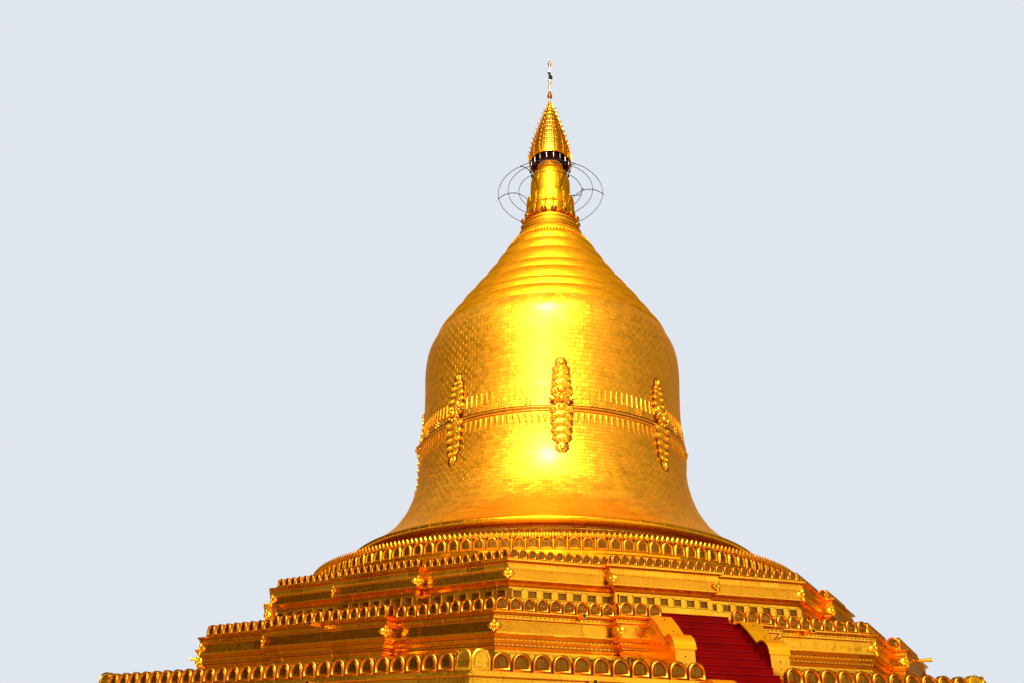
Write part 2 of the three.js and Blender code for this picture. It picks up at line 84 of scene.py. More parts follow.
UPPER = {
    "name": "upper",
    "wall": 10.8,
    "bay": (1.6, 0.26),
    "band": (6.705, 6.77),
    "merlon": (0.258, 0.26, 0.1),
    "panels": (5.53, 6.01),
    "square": (5.71, 5.96, 0.26, 0.42),
    "frieze": (6.2, 6.41),
    "flower": 6.34,
}
TERRACES = (LOWER, MIDDLE, UPPER)

# The bell and spire: lines of radius and height, then counts and turns.
FLARE = (
    *((8.12, 8.99), (7.39, 9.48), (6.83, 10.0), (6.48, 10.5)),
    *((6.19, 11.05), (5.93, 11.9), (5.83, 12.7), (5.86, 13.7)),
)
SHOULDER = ((5.86, 13.93), (5.79, 15.2), (5.83, 16.5), (5.9, 17.7), (5.83, 18.6), (5.56, 19.25))
RINGS = (
    *((5.55, 19.25), (5.08, 20.05), (4.7, 20.68), (4.12, 21.65)),
    *((3.56, 22.45), (2.9, 23.6), (2.42, 24.48), (2.08, 25.15)),
)
BELL_FLATS = 144
ORNAMENTS = 8
ORNAMENT_TURN = radians(-12.8)
ARMS = 6
ARM_TURN = radians(40.4)
CAMERA_SIDE = radians(-16.6)

# Corners nearer than this become one.
MERGED = 0.0002


# Shaping helpers.
def spans(line):
    """Each point of a line with the next one."""
    return zip(line, line[1:])


def smooth_line(points, per_span):
    """Points along a smooth curve through a few pairs of radius and height."""
    ends = [points[0], *points, points[-1]]
    ends = [Vector((radius, 0, height)) for radius, height in ends]
    line = []
    for before, start, stop, after in zip(ends, ends[1:], ends[2:], ends[3:]):
        leave = start + (stop - before) / 6
        arrive = stop - (after - start) / 6
        line += interpolate_bezier(start, leave, arrive, stop, per_span + 1)[:-1]
    line.append(ends[-1])
    return [(point.x, point.z) for point in line]


def swelling(start, stop, swell, steps):
    """One rounded ring between two pairs of radius and height, without its last point."""
    low = Vector(start)
    along = Vector(stop) - low
    out = Vector((along.y, -along.x)).normalized()
    line = []
    for step in range(steps):
        share = step / steps
        line.append(tuple(low + along * share + out * swell * 4 * share * (1 - share)))
    return line


def spin(shape, geom, angle, steps, **way):
    bmesh.ops.spin(shape, geom=geom, cent=(0, 0, 0), axis=(0, 0, 1), angle=angle, steps=steps, **way)


def merge(shape):
    bmesh.ops.remove_doubles(shape, verts=shape.verts, dist=MERGED)


def face_out(shape):
    bmesh.ops.recalc_face_normals(shape, faces=shape.faces)


def turned(outline, flats):
    """A line of radius and height turned about the upright axis."""
    shape = bmesh.new()
    corners = [shape.verts.new((radius, 0, height)) for radius, height in outline]
    edges = [shape.edges.new(pair) for pair in spans(corners)]
    spin(shape, corners + edges, tau, flats, use_merge=True)
    merge(shape)
    face_out(shape)
    return shape


def ring_of(shape, count, share=1):
    """Repeats a shape evenly round the axis, or round a share of the circle."""
    everything = shape.verts[:] + shape.edges[:] + shape.faces[:]
    spin(shape, everything, tau * share * (count - 1) / count, count - 1, use_duplicate=True)
    return shape


def about(axis, angle):
    return Matrix.Rotation(angle, 4, axis)


def at(across, away, up):
    return Matrix.Translation((across, away, up))


def turn(shape, angle, axis="Z"):
    bmesh.ops.rotate(shape, verts=shape.verts, cent=(0, 0, 0), matrix=Matrix.Rotation(angle, 3, axis))
    return shape


def shift(shape, across, away, up):
    bmesh.ops.translate(shape, verts=shape.verts, vec=(across, away, up))
    return shape


def add_copy(shape, unit, place):
    """Adds a copy of another shape, moved to its place."""
    mesh = bpy.data.meshes.new("copy")
    unit.to_mesh(mesh)
    mesh.transform(place)
    shape.from_mesh(mesh)
    bpy.data.meshes.remove(mesh)
    return shape


def join(shape, unit, place=None):
    """Adds another shape, moved to its place, and lets go of it."""
    add_copy(shape, unit, place or Matrix.Identity(4))
    unit.free()
    return shape


def block(shape, size, place):
    """Adds a box of a size, centred at a place."""
    bmesh.ops.create_cube(shape, size=1, matrix=place @ Matrix.Diagonal((*size, 1)))


def ball(shape, radius, centre, stretch=(1, 1, 1), around=8, up=6):
    matrix = at(*centre) @ Matrix.Diagonal((*stretch, 1))
    bmesh.ops.create_uvsphere(shape, u_segments=around, v_segments=up, radius=radius, matrix=matrix)
    return shape


def plate(outline, thickness):
    """A flat upright plate facing the front, and its front face."""
    shape = bmesh.new()
    front = shape.faces.new([shape.verts.new((across, 0, up)) for across, up in outline])
    made = bmesh.ops.extrude_face_region(shape, geom=[front])["geom"]
    behind = [part for part in made if isinstance(part, bmesh.types.BMVert)]
    bmesh.ops.translate(shape, verts=behind, vec=(0, thickness, 0))
    face_out(shape)
    return shape, front


def step_in(shape, face, *steps):
    """Insets a face again and again, each time by a border and a rise."""
    for border, rise in steps:
        bmesh.ops.inset_region(shape, faces=[face], thickness=border, depth=rise, use_even_offset=True)


def strip_along(shape, points, across, width, thick, lift=0):
    """Bars end to end along a line of distance and height, lying on its outer side."""
    for (near, low), (far, high) in spans(points):
        length = hypot(far - near, high - low) + thick * 0.6
        lean = about("X", atan2(high - low, near - far))
        place = at(across, -(near + far) / 2, (low + high) / 2) @ lean @ at(0, 0, lift + thick / 2)
        block(shape, (width, length, thick), place)
    return shape


def arc(centre, radius, stop, steps):
    """Points of an arc from level with its centre up to an angle in degrees."""
    angles = [radians(stop * step / steps) for step in range(steps + 1)]
    return [(centre[0] + radius * cos(angle), centre[1] + radius * sin(angle)) for angle in angles]


def shown(name, data):
    """A new object in the scene."""
    thing = bpy.data.objects.new(name, data)
    bpy.context.scene.collection.objects.link(thing)
    return thing


def finished(name, shape, finish, sharp=32, stands_for=()):
    """Makes a shape a piece of the fixed body, smooth but for its sharp edges."""
    limit = radians(sharp)
    for face in shape.faces:
        face.smooth = True
    for edge in shape.edges:
        edge.smooth = len(edge.link_faces) == 2 and edge.calc_face_angle() < limit
    mesh = bpy.data.meshes.new(name)
    shape.to_mesh(mesh)
    shape.free()
    mesh.materials.append(finish)
    piece = shown(name, mesh)
    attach(piece, "root")
    if stands_for:
        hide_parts(*stands_for)


# Finishes. Each helper takes numbers, colours or other nodes' outputs as its values.
def feed(tree, socket, value):
    if isinstance(value, bpy.types.NodeSocket):
        tree.links.new(value, socket)
    else:
        socket.default_value = value


def new_node(tree, kind, group=None, **inputs):
    """A new shader node; its inputs are given by their labels, with _ for a space."""
    node = tree.nodes.new("ShaderNode" + kind)
    if group:
        node.node_tree = group
    for label, value in inputs.items():
        feed(tree, node.inputs[label.replace("_", " ")], value)
    return node


def maths(tree, operation, *values):
    node = new_node(tree, "Math")
    node.operation = operation
    for socket, value in zip(node.inputs, values):
        feed(tree, socket, value)
    return node.outputs[0]


def times(tree, first, second):
    return maths(tree, "MULTIPLY", first, second)


def total(tree, start, *parts):
    """A value with others added to it, each by its share."""
    for value, share in parts:
        start = maths(tree, "ADD", start, times(tree, value, share))
    return start


def blended(tree, share, first, second):
    """A colour between two, by a share."""
    node = new_node(tree, "Mix")
    node.data_type = "RGBA"
    colours = [socket for socket in node.inputs if socket.type == "RGBA"]
    for socket, value in zip((node.inputs[0], *colours), (share, first, second)):
        feed(tree, socket, value)
    return node.outputs[2]


def cloud(tree, place, scale, detail):
    """A soft noise between 0 and 1."""
    return new_node(tree, "TexNoise", Vector=place, Scale=scale, Detail=detail).outputs["Fac"]


def ramp(tree, value, low, high):
    """A value spread from 0 at low to 1 at high."""
    return new_node(tree, "MapRange", Value=value, From_Min=low, From_Max=high).outputs[0]


def split(tree, place):
    return new_node(tree, "SeparateXYZ", Vector=place).outputs


def new_group(name, inputs, outputs):
    """A node group with named sockets; an input has a usual number or colour, or None for a place."""
    group = bpy.data.node_groups.new(name, "ShaderNodeTree")
    for label, value in inputs.items():
        kind = {float: "Float", tuple: "Color"}.get(type(value), "Vector")
        socket = group.interface.new_socket(name=label, in_out="INPUT", socket_type="NodeSocket" + kind)
        if value is not None:
            socket.default_value = value
    for label, kind in outputs.items():
        group.interface.new_socket(name=label, in_out="OUTPUT", socket_type="NodeSocket" + kind)
    return group, group.nodes.new("NodeGroupInput").outputs, group.nodes.new("NodeGroupOutput").inputs


def laid_flat(name, inputs):
    """A group that lays places out flat: arc length at a radius or length along the walls, and height."""
    group, given, made = new_group(name, inputs, {"Flat": "Vector"})
    x, y, z = split(group, given["Place"])
    angle = maths(group, "ARCTAN2", y, x)
    if "Radius" in inputs:
        along = times(group, angle, given["Radius"])
    else:
        side = maths(group, "SNAP", maths(group, "ADD", angle, SIDE_TURN / 2), SIDE_TURN)
        along = times(group, y, maths(group, "COSINE", side))
        along = maths(group, "SUBTRACT", along, times(group, x, maths(group, "SINE", side)))
    feed(group, made["Flat"], new_node(group, "CombineXYZ", X=along, Y=z).outputs[0])
    return group


def plate_tilt(group, flat, width, height):
    """A slope over each plate that differs from plate to plate."""
    across, rise, _ = split(group, flat)
    up = maths(group, "DIVIDE", rise, height)
    row = maths(group, "FLOOR", up)
    stagger = times(group, maths(group, "MODULO", maths(group, "ADD", row, 1), 2), 0.5)
    along = maths(group, "ADD", maths(group, "DIVIDE", across, width), stagger)
    cell = new_node(group, "CombineXYZ", X=maths(group, "FLOOR", along), Y=row)
    chance = new_node(group, "TexWhiteNoise", Vector=cell.outputs[0])
    parts = new_node(group, "SeparateColor", Color=chance.outputs["Color"])
    slopes = []
    for part, place in (("Red", along), ("Green", up)):
        centred = maths(group, "SUBTRACT", parts.outputs[part], 0.5)
        slopes.append(times(group, maths(group, "FRACT", place), centred))
    return maths(group, "ADD", *slopes)


def gilding():
    """Gilded plates in courses: tone from plate to plate, seams, soft dents and grime, and a painted orange
    reflection on faces that turn downwards.
    """
    inputs = {"Place": None, "Flat": None, "Plate Width": 0.35, "Plate Height": 0.2}
    inputs |= {"Gold": (0.9, 0.45, 0.05, 1), "Deep Gold": (0.6, 0.2, 0.02, 1)}
    inputs |= {"Seam Share": 0.5, "Gloss": 0.25, "Underside": 0.5, "Plate Tilt": 0.5}
    group, given, made = new_group("Gilding", inputs, SKIN)
    place, flat, width, height = (given[label] for label in ("Place", "Flat", "Plate Width", "Plate Height"))
    bricks = new_node(group, "TexBrick", Vector=flat, Brick_Width=width, Row_Height=height, **BRICKS).outputs
    tone, lines = bricks["Color"], bricks["Fac"]
    seam = times(group, lines, given["Seam Share"])
    patches = ramp(group, cloud(group, place, 0.6, 4), 0.35, 0.7)
    dents = cloud(group, place, 3.4, 2.5)
    grain = cloud(group, place, 14, 4)
    facing = split(group, new_node(group, "NewGeometry").outputs["Normal"])
    # Painted reflection: faces that turn downwards are tinted orange, as if they reflected warm ground
    # below.
    under = ramp(group, facing["Z"], -0.15, -0.75)

    deep = total(group, times(group, tone, 0.3), (patches, 0.35))
    plates = blended(group, deep, given["Gold"], given["Deep Gold"])
    worn = blended(group, times(group, ramp(group, grain, 0.55, 0.8), 0.25), plates, WORN_GOLD)
    lined = blended(group, seam, worn, SEAM_BROWN)
    # Painted reflection: downward faces are blended towards orange.
    tinted = blended(group, times(group, under, given["Underside"]), lined, UNDERSIDE_REFLECTION_ORANGE)
    feed(group, made["Colour"], tinted)
    feed(group, made["Roughness"], total(group, given["Gloss"], (tone, 0.1), (grain, 0.16), (seam, 0.3)))
    relief = total(group, times(group, dents, 0.55), (tone, 0.12), (grain, 0.05), (lines, -0.35))
    tilted = plate_tilt(group, flat, width, height)
    feed(group, made["Height"], total(group, relief, (tilted, given["Plate Tilt"])))
    return group


def brushwork():
    """Brushed paint: a colour that wears thin in patches over a darker one."""
    paints = {"Paint": (0.3, 0.01, 0.01, 1), "Worn": (0.1, 0.01, 0.01, 1)}
    group, given, made = new_group("Brushwork", {"Place": None, **paints, "Patch Size": 1.5}, SKIN)
    scaled = new_node(group, "VectorMath")
    scaled.operation = "SCALE"
    feed(group, scaled.inputs[0], given["Place"])
    feed(group, scaled.inputs["Scale"], given["Patch Size"])
    patches = ramp(group, cloud(group, scaled.outputs[0], 1, 5), 0.42, 0.72)
    grain = cloud(group, given["Place"], 22, 5)
    share = total(group, times(group, patches, 0.6), (grain, 0.25))
    feed(group, made["Colour"], blended(group, share, given["Paint"], given["Worn"]))
    feed(group, made["Roughness"], total(group, 0.42, (share, 0.4)))
    feed(group, made["Height"], total(group, grain, (patches, 0.5)))
    return group


# What the golds and paints put out, and plates that differ from black to white.
SKIN = {"Colour": "Color", "Roughness": "Float", "Height": "Float"}
BRICKS = {"Color1": (0, 0, 0, 1), "Color2": (1, 1, 1, 1), "Mortar": (0.5, 0.5, 0.5, 1)}
BRICKS |= {"Scale": 1, "Mortar_Size": 0.007, "Mortar_Smooth": 0.5}
WORN_GOLD = (0.42, 0.17, 0.025, 1)
SEAM_BROWN = (0.16, 0.05, 0.01, 1)
# Painted reflection: the orange that the downward faces of gold are tinted with.
UNDERSIDE_REFLECTION_ORANGE = (0.52, 0.16, 0.012, 1)
GLANCING_GOLD = (1, 0.7, 0.28, 1)

# Light and deep tone of each gold.
DEEP_GOLD = (0.72, 0.22, 0.004)
GOLD = ((0.92, 0.39, 0.008), DEEP_GOLD)
BELL_GOLD = ((0.92, 0.4, 0.012), DEEP_GOLD)
PANEL_GOLD = ((0.8, 0.35, 0.014), (0.38, 0.13, 0.007))
WALL_GOLD = ((0.88, 0.45, 0.02), (0.64, 0.25, 0.012))
# Painted shade: the dark gold of sheets set in niches and recesses.
NICHE_SHADE_GOLD = ((0.26, 0.11, 0.008), (0.08, 0.028, 0.004))
# Painted shade: a darker gold for the plinth's arcade and fringe, to dim their highlights.
ARCADE_SHADE_GOLD = ((0.66, 0.27, 0.01), (0.46, 0.16, 0.006))
# Painted reflection: the slabs' gold is darkened to brown, as if it reflected dark surroundings.
MERLON_REFLECTION_GOLD = ((0.46, 0.15, 0.008), (0.28, 0.08, 0.005))
SCROLL_GOLD = ((0.88, 0.42, 0.02), (0.7, 0.27, 0.01))
# Painted shade: the duller, darker gold of the flare under the rim's lip.
FLARE_SHADE_GOLD = ((0.5, 0.3, 0.03), (0.34, 0.17, 0.01))
# Painted shade: the brown of dark lines in grooves, creases and round the ornaments.
SHADE_BROWN = ((0.26, 0.07, 0.008), (0.2, 0.05, 0.006))
CROWN_YELLOW = ((0.95, 0.46, 0.02), DEEP_GOLD)
PALE_GOLD = ((0.95, 0.6, 0.16), (0.8, 0.4, 0.06))
# Painted reflection: the lotus balls' gold darkened to brown, as if they reflected dark ground.
BALL_REFLECTION_GOLD = ((0.34, 0.11, 0.008), (0.22, 0.06, 0.005))
ONION_BROWN = ((0.4, 0.1, 0.012), (0.18, 0.045, 0.008))

# Paint and worn paint of each painted piece.
STAIR_PAINT = ((0.13, 0.0004, 0.0002), (0.06, 0.0003, 0.0002))
NOSING_PAINT = ((0.16, 0.001, 0.0008), (0.08, 0.0006, 0.0005))
CORE_PAINT = ((0.16, 0.02, 0.008), (0.06, 0.01, 0.004))
IRON = ((0.012, 0.012, 0.013), (0.03, 0.02, 0.015))
SILVER = ((0.8, 0.78, 0.74), (0.5, 0.46, 0.4))
LAMP_GREY = ((0.5, 0.49, 0.47), (0.34, 0.32, 0.3))

# Plate width and height: small sheets, or one sheet to a piece.
RIM_SHEETS = (0.5, 0.45)
WALL_SHEETS = (0.62, 0.9)
SPIRE_SHEETS = (0.3, 0.3)
ONE_SHEET = (3, 3)

round_courses = laid_flat("Round Courses", {"Place": None, "Radius": 6.0})
wall_courses = laid_flat("Wall Courses", {"Place": None})
gilt = gilding()
brushed = brushwork()


def bare_material(name, metallic):
    """A new material with its tree, shader, and the node that gives the place on a piece."""
    finish = bpy.data.materials.new(name)
    finish.use_nodes = True
    tree = finish.node_tree
    shader = tree.nodes["Principled BSDF"]
    shader.inputs["Metallic"].default_value = metallic
    return finish, tree, shader.inputs, new_node(tree, "TexCoord").outputs["Object"]


def dress(tree, shader, skin, strength, distance):
    """Gives a shader the colour, roughness and relief of a skin."""
    feed(tree, shader["Base Color"], skin["Colour"])
    feed(tree, shader["Roughness"], skin["Roughness"])
    bump = new_node(tree, "Bump", Strength=strength, Distance=distance, Height=skin["Height"])
    feed(tree, shader["Normal"], bump.outputs[0])


def gold_finish(name, courses, sheets, tones, seams, gloss, dents=0.012, under=0.5, tilt=0.3):
    """Gilded metal with its plates in courses on the walls, or round the axis at a radius; under is its
    share of painted orange reflection on downward faces.
    """
    finish, tree, shader, place = bare_material(name, 1)
    if courses == "walls":
        laid = new_node(tree, "Group", wall_courses, Place=place)
    else:
        laid = new_node(tree, "Group", round_courses, Place=place, Radius=courses)
    skin = new_node(
        tree,
        "Group",
        gilt,
        Place=place,
        Flat=laid.outputs["Flat"],
        Plate_Width=sheets[0],
        Plate_Height=sheets[1],
        Gold=(*tones[0], 1),
        Deep_Gold=(*tones[1], 1),
        Seam_Share=seams,
        Gloss=gloss,
        Underside=under,
        Plate_Tilt=tilt,
    )
    dress(tree, shader, skin.outputs, 0.6, dents)
    shader["Specular Tint"].default_value = GLANCING_GOLD
    return finish


def painted_finish(name, tones, patches, metallic=0, shine=0.15):
    finish, tree, shader, place = bare_material(name, metallic)
    paint, worn = [(*tone, 1) for tone in tones]
    coat = new_node(tree, "Group", brushed, Place=place, Paint=paint, Worn=worn, Patch_Size=patches)
    dress(tree, shader, coat.outputs, 0.4, 0.004)
    shader["Specular IOR Level"].default_value = shine
    return finish


bell_gold = gold_finish("bell_gold", 5.86, (0.33, 0.19), BELL_GOLD, 0.6, 0.34, 0.05, 0.1, 0.65)
foot_gold = gold_finish("foot_gold", 6.3, (0.33, 0.14), BELL_GOLD, 0.6, 0.34, 0.05, 0.1, 0.65)
for lacquered in (bell_gold, foot_gold):
    lacquer = lacquered.node_tree.nodes["Principled BSDF"].inputs
    lacquer["Coat Weight"].default_value = 0.18
    lacquer["Coat Roughness"].default_value = 0.27
rim_gold = gold_finish("rim_gold", 9, RIM_SHEETS, GOLD, 0.4, 0.16, 0.02, 0.15)
flare_shade_gold = gold_finish("flare_shade_gold", 9, RIM_SHEETS, FLARE_SHADE_GOLD, 0.4, 0.16, 0.02, 0.15)
cone_gold = gold_finish("cone_gold", 4, (0.3, 0.12), GOLD, 0.35, 0.33, 0.014, 0.2)
lotus_gold = gold_finish("lotus_gold", 1.2, (0.5, 0.6), GOLD, 0.2, 0.27, 0.03, 0.3)
wall_gold = gold_finish("wall_gold", "walls", WALL_SHEETS, WALL_GOLD, 0.3, 0.16, 0.028, 0.4)
# More painted orange reflection under the upper terrace's eaves.
eave_gold = gold_finish("eave_gold", "walls", WALL_SHEETS, WALL_GOLD, 0.3, 0.16, under=0.8)
carved_gold = gold_finish("carved_gold", "walls", ONE_SHEET, WALL_GOLD, 0, 0.2, 0.006, 0.15)
merlon_gold = gold_finish("merlon_gold", "walls", ONE_SHEET, MERLON_REFLECTION_GOLD, 0, 0.3, 0.006, 0.3)
arcade_gold = gold_finish("arcade_gold", 6, ONE_SHEET, ARCADE_SHADE_GOLD, 0, 0.3, 0.006, 0.3)
scroll_gold = gold_finish("scroll_gold", 6, ONE_SHEET, SCROLL_GOLD, 0, 0.28, 0.006, 0.1)
panel_gold = gold_finish("panel_gold", "walls", ONE_SHEET, PANEL_GOLD, 0, 0.12, 0.05, tilt=0.1)
coping_gold = gold_finish("coping_gold", "walls", (0.8, 3), GOLD, 0.1, 0.42, 0.01, 0.2)
niche_shade_gold = gold_finish("niche_shade_gold", "walls", (0.07, 1.3), NICHE_SHADE_GOLD, 0.3, 0.14, 0.02, tilt=0.8)
ball_gold = gold_finish("ball_gold", 6, ONE_SHEET, BALL_REFLECTION_GOLD, 0, 0.16, 0.004, 0.7)
# Painted shade, for dark lines where shadow falls.
painted_shade_gold = gold_finish("painted_shade_gold", 6, ONE_SHEET, SHADE_BROWN, 0, 0.35)
crown_gold = gold_finish("crown_gold", 1, (0.2, 0.3), CROWN_YELLOW, 0, 0.22, 0.004, 0.3)
pale_gold = gold_finish("pale_gold", 0.2, SPIRE_SHEETS, PALE_GOLD, 0, 0.16, 0.003, 0.1)
onion_gold = gold_finish("onion_gold", 0.2, SPIRE_SHEETS, ONION_BROWN, 0, 0.3, 0.003, 0.1)
stair_red = painted_finish("stair_red", STAIR_PAINT, 1.2, shine=0.02)
nosing_red = painted_finish("nosing_red", NOSING_PAINT, 3, shine=0.05)
core_brown = painted_finish("core_brown", CORE_PAINT, 4)
hoop_iron = painted_finish("hoop_iron", IRON, 6, 0.6)
rod_silver = painted_finish("rod_silver", SILVER, 6, 1)
lamp_grey = painted_finish("lamp_grey", LAMP_GREY, 8)


# Sides of the terraces.
def wall_runs(terrace, offset, gap, pier):
    """One side of a wall, moved out by an offset: a run of plan corners, or two beside a gap."""
    face = terrace["wall"] + offset
    right = [(face * CORNER - pier, -face)]
    if terrace["bay"]:
        half, out = terrace["bay"]
        right = [(half + offset, -face - out), (half + offset, -face), *right]
    left = [(-across, away) for across, away in reversed(right)]
    if not gap:
        return [left + right]
    front = right[0][1]
    return [[*left, (-gap, front)], [(gap, front), *right]]


def all_round(terrace, offset, gap, fill, pier=0):
    """Fills each run of a side with a stair and of the plain ones, and gathers turned copies."""

    def side(opening):
        shape = bmesh.new()
        for run in wall_runs(terrace, offset, opening, pier):
            fill(shape, run)
        return shape

    if terrace is UPPER:
        return ring_of(side(0), SIDES)
    plain_sides = SIDES // STAIRS - 1
    plain = ring_of(turn(side(0), SIDE_TURN), plain_sides, plain_sides / SIDES)
    return ring_of(join(side(gap), plain), STAIRS)


def stretches(run):
    """Start and length of each straight stretch of a run of plan corners, facing outwards."""
    for start, stop in spans(run):
        along = Vector(stop) - Vector(start)
        yield at(*start, 0) @ about("Z", atan2(along.y, along.x)), along.length


def stand_along(shape, unit, run, pitch):
    """Stands copies of a unit along a run of plan corners, stretched a little to fit."""
    for start, length in stretches(run):
        if length >= pitch * 0.5:
            count = max(1, round(length / pitch))
            each = length / count
            for step in range(count):
                place = start @ at(each * (step + 0.5), 0, 0)
                add_copy(shape, unit, place @ Matrix.Diagonal((each / pitch, 1, 1, 1)))


def row_of(unit, terrace, offset, gap, pitch, pier=0):
    """Copies of a unit in a row all round a terrace."""
    row = all_round(terrace, offset, gap, lambda shape, run: stand_along(shape, unit, run, pitch), pier)
    unit.free()
    return row


# Parapets: rows of arched slabs on a moulded band.
def arch_outline(half, foot, top, steps):
    """A round-headed outline, from its right foot over the top to its left foot."""
    return [(half, foot), *arc((0, top - half), half, 180, steps), (-half, foot)]


def merlon(width, height, depth):
    """One arched slab with a rolled border and a sunk niche, its front on the line y = 0."""
    unit, front = plate(arch_outline(width * 0.47, 0, height, 8), depth)
    roll = width * 0.07
    rolled = ((0.5, 0.6), (0.7, 0.3), (0.7, -0.4), (0.5, -1), (0.5, 0.6), (0.5, -1.4))
    step_in(unit, front, *[(roll * border, roll * rise) for border, rise in rolled])
    return unit


def niche_shade_sheet(width, height):
    """A darker sheet at the back of an arched slab's niche: painted shade in the recess."""
    unit, _ = plate(arch_outline(width * 0.27, height * 0.03, height * 0.77, 8), 0.03)
    return shift(unit, 0, width * 0.03, 0)


def slab_row(terrace, unit):
    """Copies of a unit along every side of a terrace's parapet."""
    pier = PIER if terrace is LOWER else 0
    row = row_of(unit, terrace, -SETBACK, STAIR_GAP, terrace["merlon"][0], pier)
    return shift(row, 0, 0, terrace["band"][1])


def make_parapet(terrace, stands_for):
    """The arched slabs of one terrace, a darker sheet of painted shade in each niche, and the plain base."""
    name = terrace["name"] + "_parapet"
    width, height, depth = terrace["merlon"]
    slabs = slab_row(terrace, merlon(width, height, depth))
    # The slabs' darker gold is painted reflection of dark surroundings.
    finished(name + "_slabs", slabs, merlon_gold, sharp=50, stands_for=stands_for)
    finished(name + "_niches", slab_row(terrace, niche_shade_sheet(width, height)), niche_shade_gold)
    low, high = terrace["band"]
    base = bmesh.new()
    for node in stands_for:
        base.from_mesh(nodes[node].data)
    merge(base)
    crest = max(corner.co.z for corner in base.verts)
    upper = [corner for corner in base.verts if corner.co.z > low + 0.1]
    bmesh.ops.translate(base, verts=upper, vec=(0, 0, high - crest))
    face_out(base)
    finished(name + "_base", base, wall_gold)


QUARTERS = ("front_right", "right_back", "back_left", "left_front")
for terrace in (LOWER, MIDDLE):
    make_parapet(terrace, [f"{terrace['name']}_parapet_{quarter}" for quarter in QUARTERS])
make_parapet(UPPER, ["upper_parapet"])


# The bell and spire, turned smooth.
def turned_piece(name, line, finish, stands_for=(), flats=BELL_FLATS):
    """A turned piece whose line of radius and height is closed on the axis at both ends."""
    closed = [(0, line[0][1]), *line, (0, line[-1][1])]
    finished(name, turned(closed, flats), finish, stands_for=stands_for)


bell_line = smooth_line(FLARE, 6)
upper_line = smooth_line(SHOULDER, 6)
# The flare under the rim's lip is in a darker gold: painted shade.
flare_line = [(9.25, 8.0203), (9.25, 8.08), *swelling((9.15, 8.09), (8.02, 8.74), -0.17, 8), (8.02, 8.74)]
turned_piece("rim_flare", flare_line, flare_shade_gold)
rim_line = [(8.02, 8.7403), (8.2, 8.78), (8.24, 8.82), (8.25, 8.86), (8.24, 8.93), (8.16, 8.9897)]
turned_piece("rim", rim_line, rim_gold, ["bell_rim"])
turned_piece("bell_foot", [(bell_line[0][0], 8.99), *bell_line, (5.86, 13.7)], foot_gold, ["bell_lower"])
turned_piece("bell_head", [*upper_line, (5.56, 19.2497)], bell_gold, ["bell_upper"])
ring_line = []
for groove, next_groove in spans(RINGS):
    ring_line += swelling(groove, next_groove, 0.11, 10)
ring_line += [(2.08, 25.15), (2.08, 25.33)]
ring_line += swelling((1.96, 25.34), (1.7, 25.9), 0.04, 4)
ring_line += [(1.7, 25.9), (1.64, 26.1), (1.48, 26.48), (1.45, 26.6997)]
turned_piece("cone_rings", ring_line, cone_gold, ["ringed_cone"])

# The round plinth: an arcade of arches with a fringe of pointed petals over it.
ARCHES = 143
ARCH_SIZE = (0.4, 0.41)
ARCADE_RADIUS = 9.62
ARCADE_FOOT = 7.5
ARCH_POST = (0.025, 0.05, 0.38)
FRINGE_PETALS = 350
FRINGE_RADIUS = 9.63
FRINGE_FOOT = 7.87


def lancet(width, height, thick, ridge, foot=0.44):
    """A pointed petal with a raised middle, its back on the line y = 0."""
    half = [(width * foot / 2, 0), (width * 0.5, height * 0.3), (width * 0.3, height * 0.68)]
    unit, front = plate([*half, (0, height), *[(-across, up) for across, up in reversed(half)]], thick)
    step_in(unit, front, (width * 0.2, ridge))
    return shift(unit, 0, -thick, 0)


arch = shift(merlon(*ARCH_SIZE, 0.12), 0, -ARCADE_RADIUS, ARCADE_FOOT)
block(arch, ARCH_POST, at(0.21, 0.01 - ARCADE_RADIUS, ARCADE_FOOT + ARCH_POST[2] / 2))
# The arcade and its fringe are in a darker gold: painted shade.
finished("plinth_arcade", ring_of(arch, ARCHES), arcade_gold)
# A darker sheet of painted shade in each arch's niche.
arch_sheet = shift(niche_shade_sheet(*ARCH_SIZE), 0, -ARCADE_RADIUS, ARCADE_FOOT)
finished("plinth_niches", ring_of(arch_sheet, ARCHES), niche_shade_gold)
petal = shift(lancet(0.15, 0.2, 0.03, 0.02), 0, -FRINGE_RADIUS, FRINGE_FOOT)
finished("plinth_fringe", ring_of(petal, FRINGE_PETALS), arcade_gold)

# The bell's band: two rolls, pointed petals above and below, and small rosettes.
band_line = [(5.88, 13.7003)]
for roll_foot in (13.705, 13.835):
    roll_top = roll_foot + 0.085
    band_line += swelling((5.87, roll_foot), (5.87, roll_top), 0.035, 6)
    band_line += [(5.87, roll_top), (5.85, roll_top + 0.005)]
turned_piece("band_rolls", [*band_line, (5.85, 13.9297)], bell_gold, ["bell_band"])

# Painted shade: dark rings in the grooves of the band and of the cone's foot, where shadow falls; low edge,
# height, inner and outer radius.
SHADE_RINGS = (
    (13.802, 0.022, 5.84, 5.89),
    (13.925, 0.022, 5.84, 5.9),
    (25.89, 0.04, 1.64, 1.72),
    (26.1, 0.04, 1.575, 1.655),
    (26.5, 0.04, 1.41, 1.49),
)
groove = bmesh.new()
for low, tall, inner, outer in SHADE_RINGS:
    high = low + tall
    line = [(inner, low), (outer, low), (outer, high), (inner, high), (inner, low)]
    join(groove, turned(line, BELL_FLATS))
finished("band_shade_rings", groove, painted_shade_gold)


def bell_radius(height):
    """Radius of the bell's skin at a height."""
    for (near, low), (far, high) in spans(bell_line + upper_line):
        if low <= height <= high and high > low:
            return near + (far - near) * (height - low) / (high - low)
    return upper_line[-1][0]


def on_bell(across, height, proud=0):
    """A place on the front of the bell's skin, leaning with it."""
    radius = bell_radius(height)
    lean = atan2(bell_radius(height + 0.1) - bell_radius(height - 0.1), 0.2)
    return about("Z", across / radius) @ at(0, -radius - proud, height) @ about("X", lean)


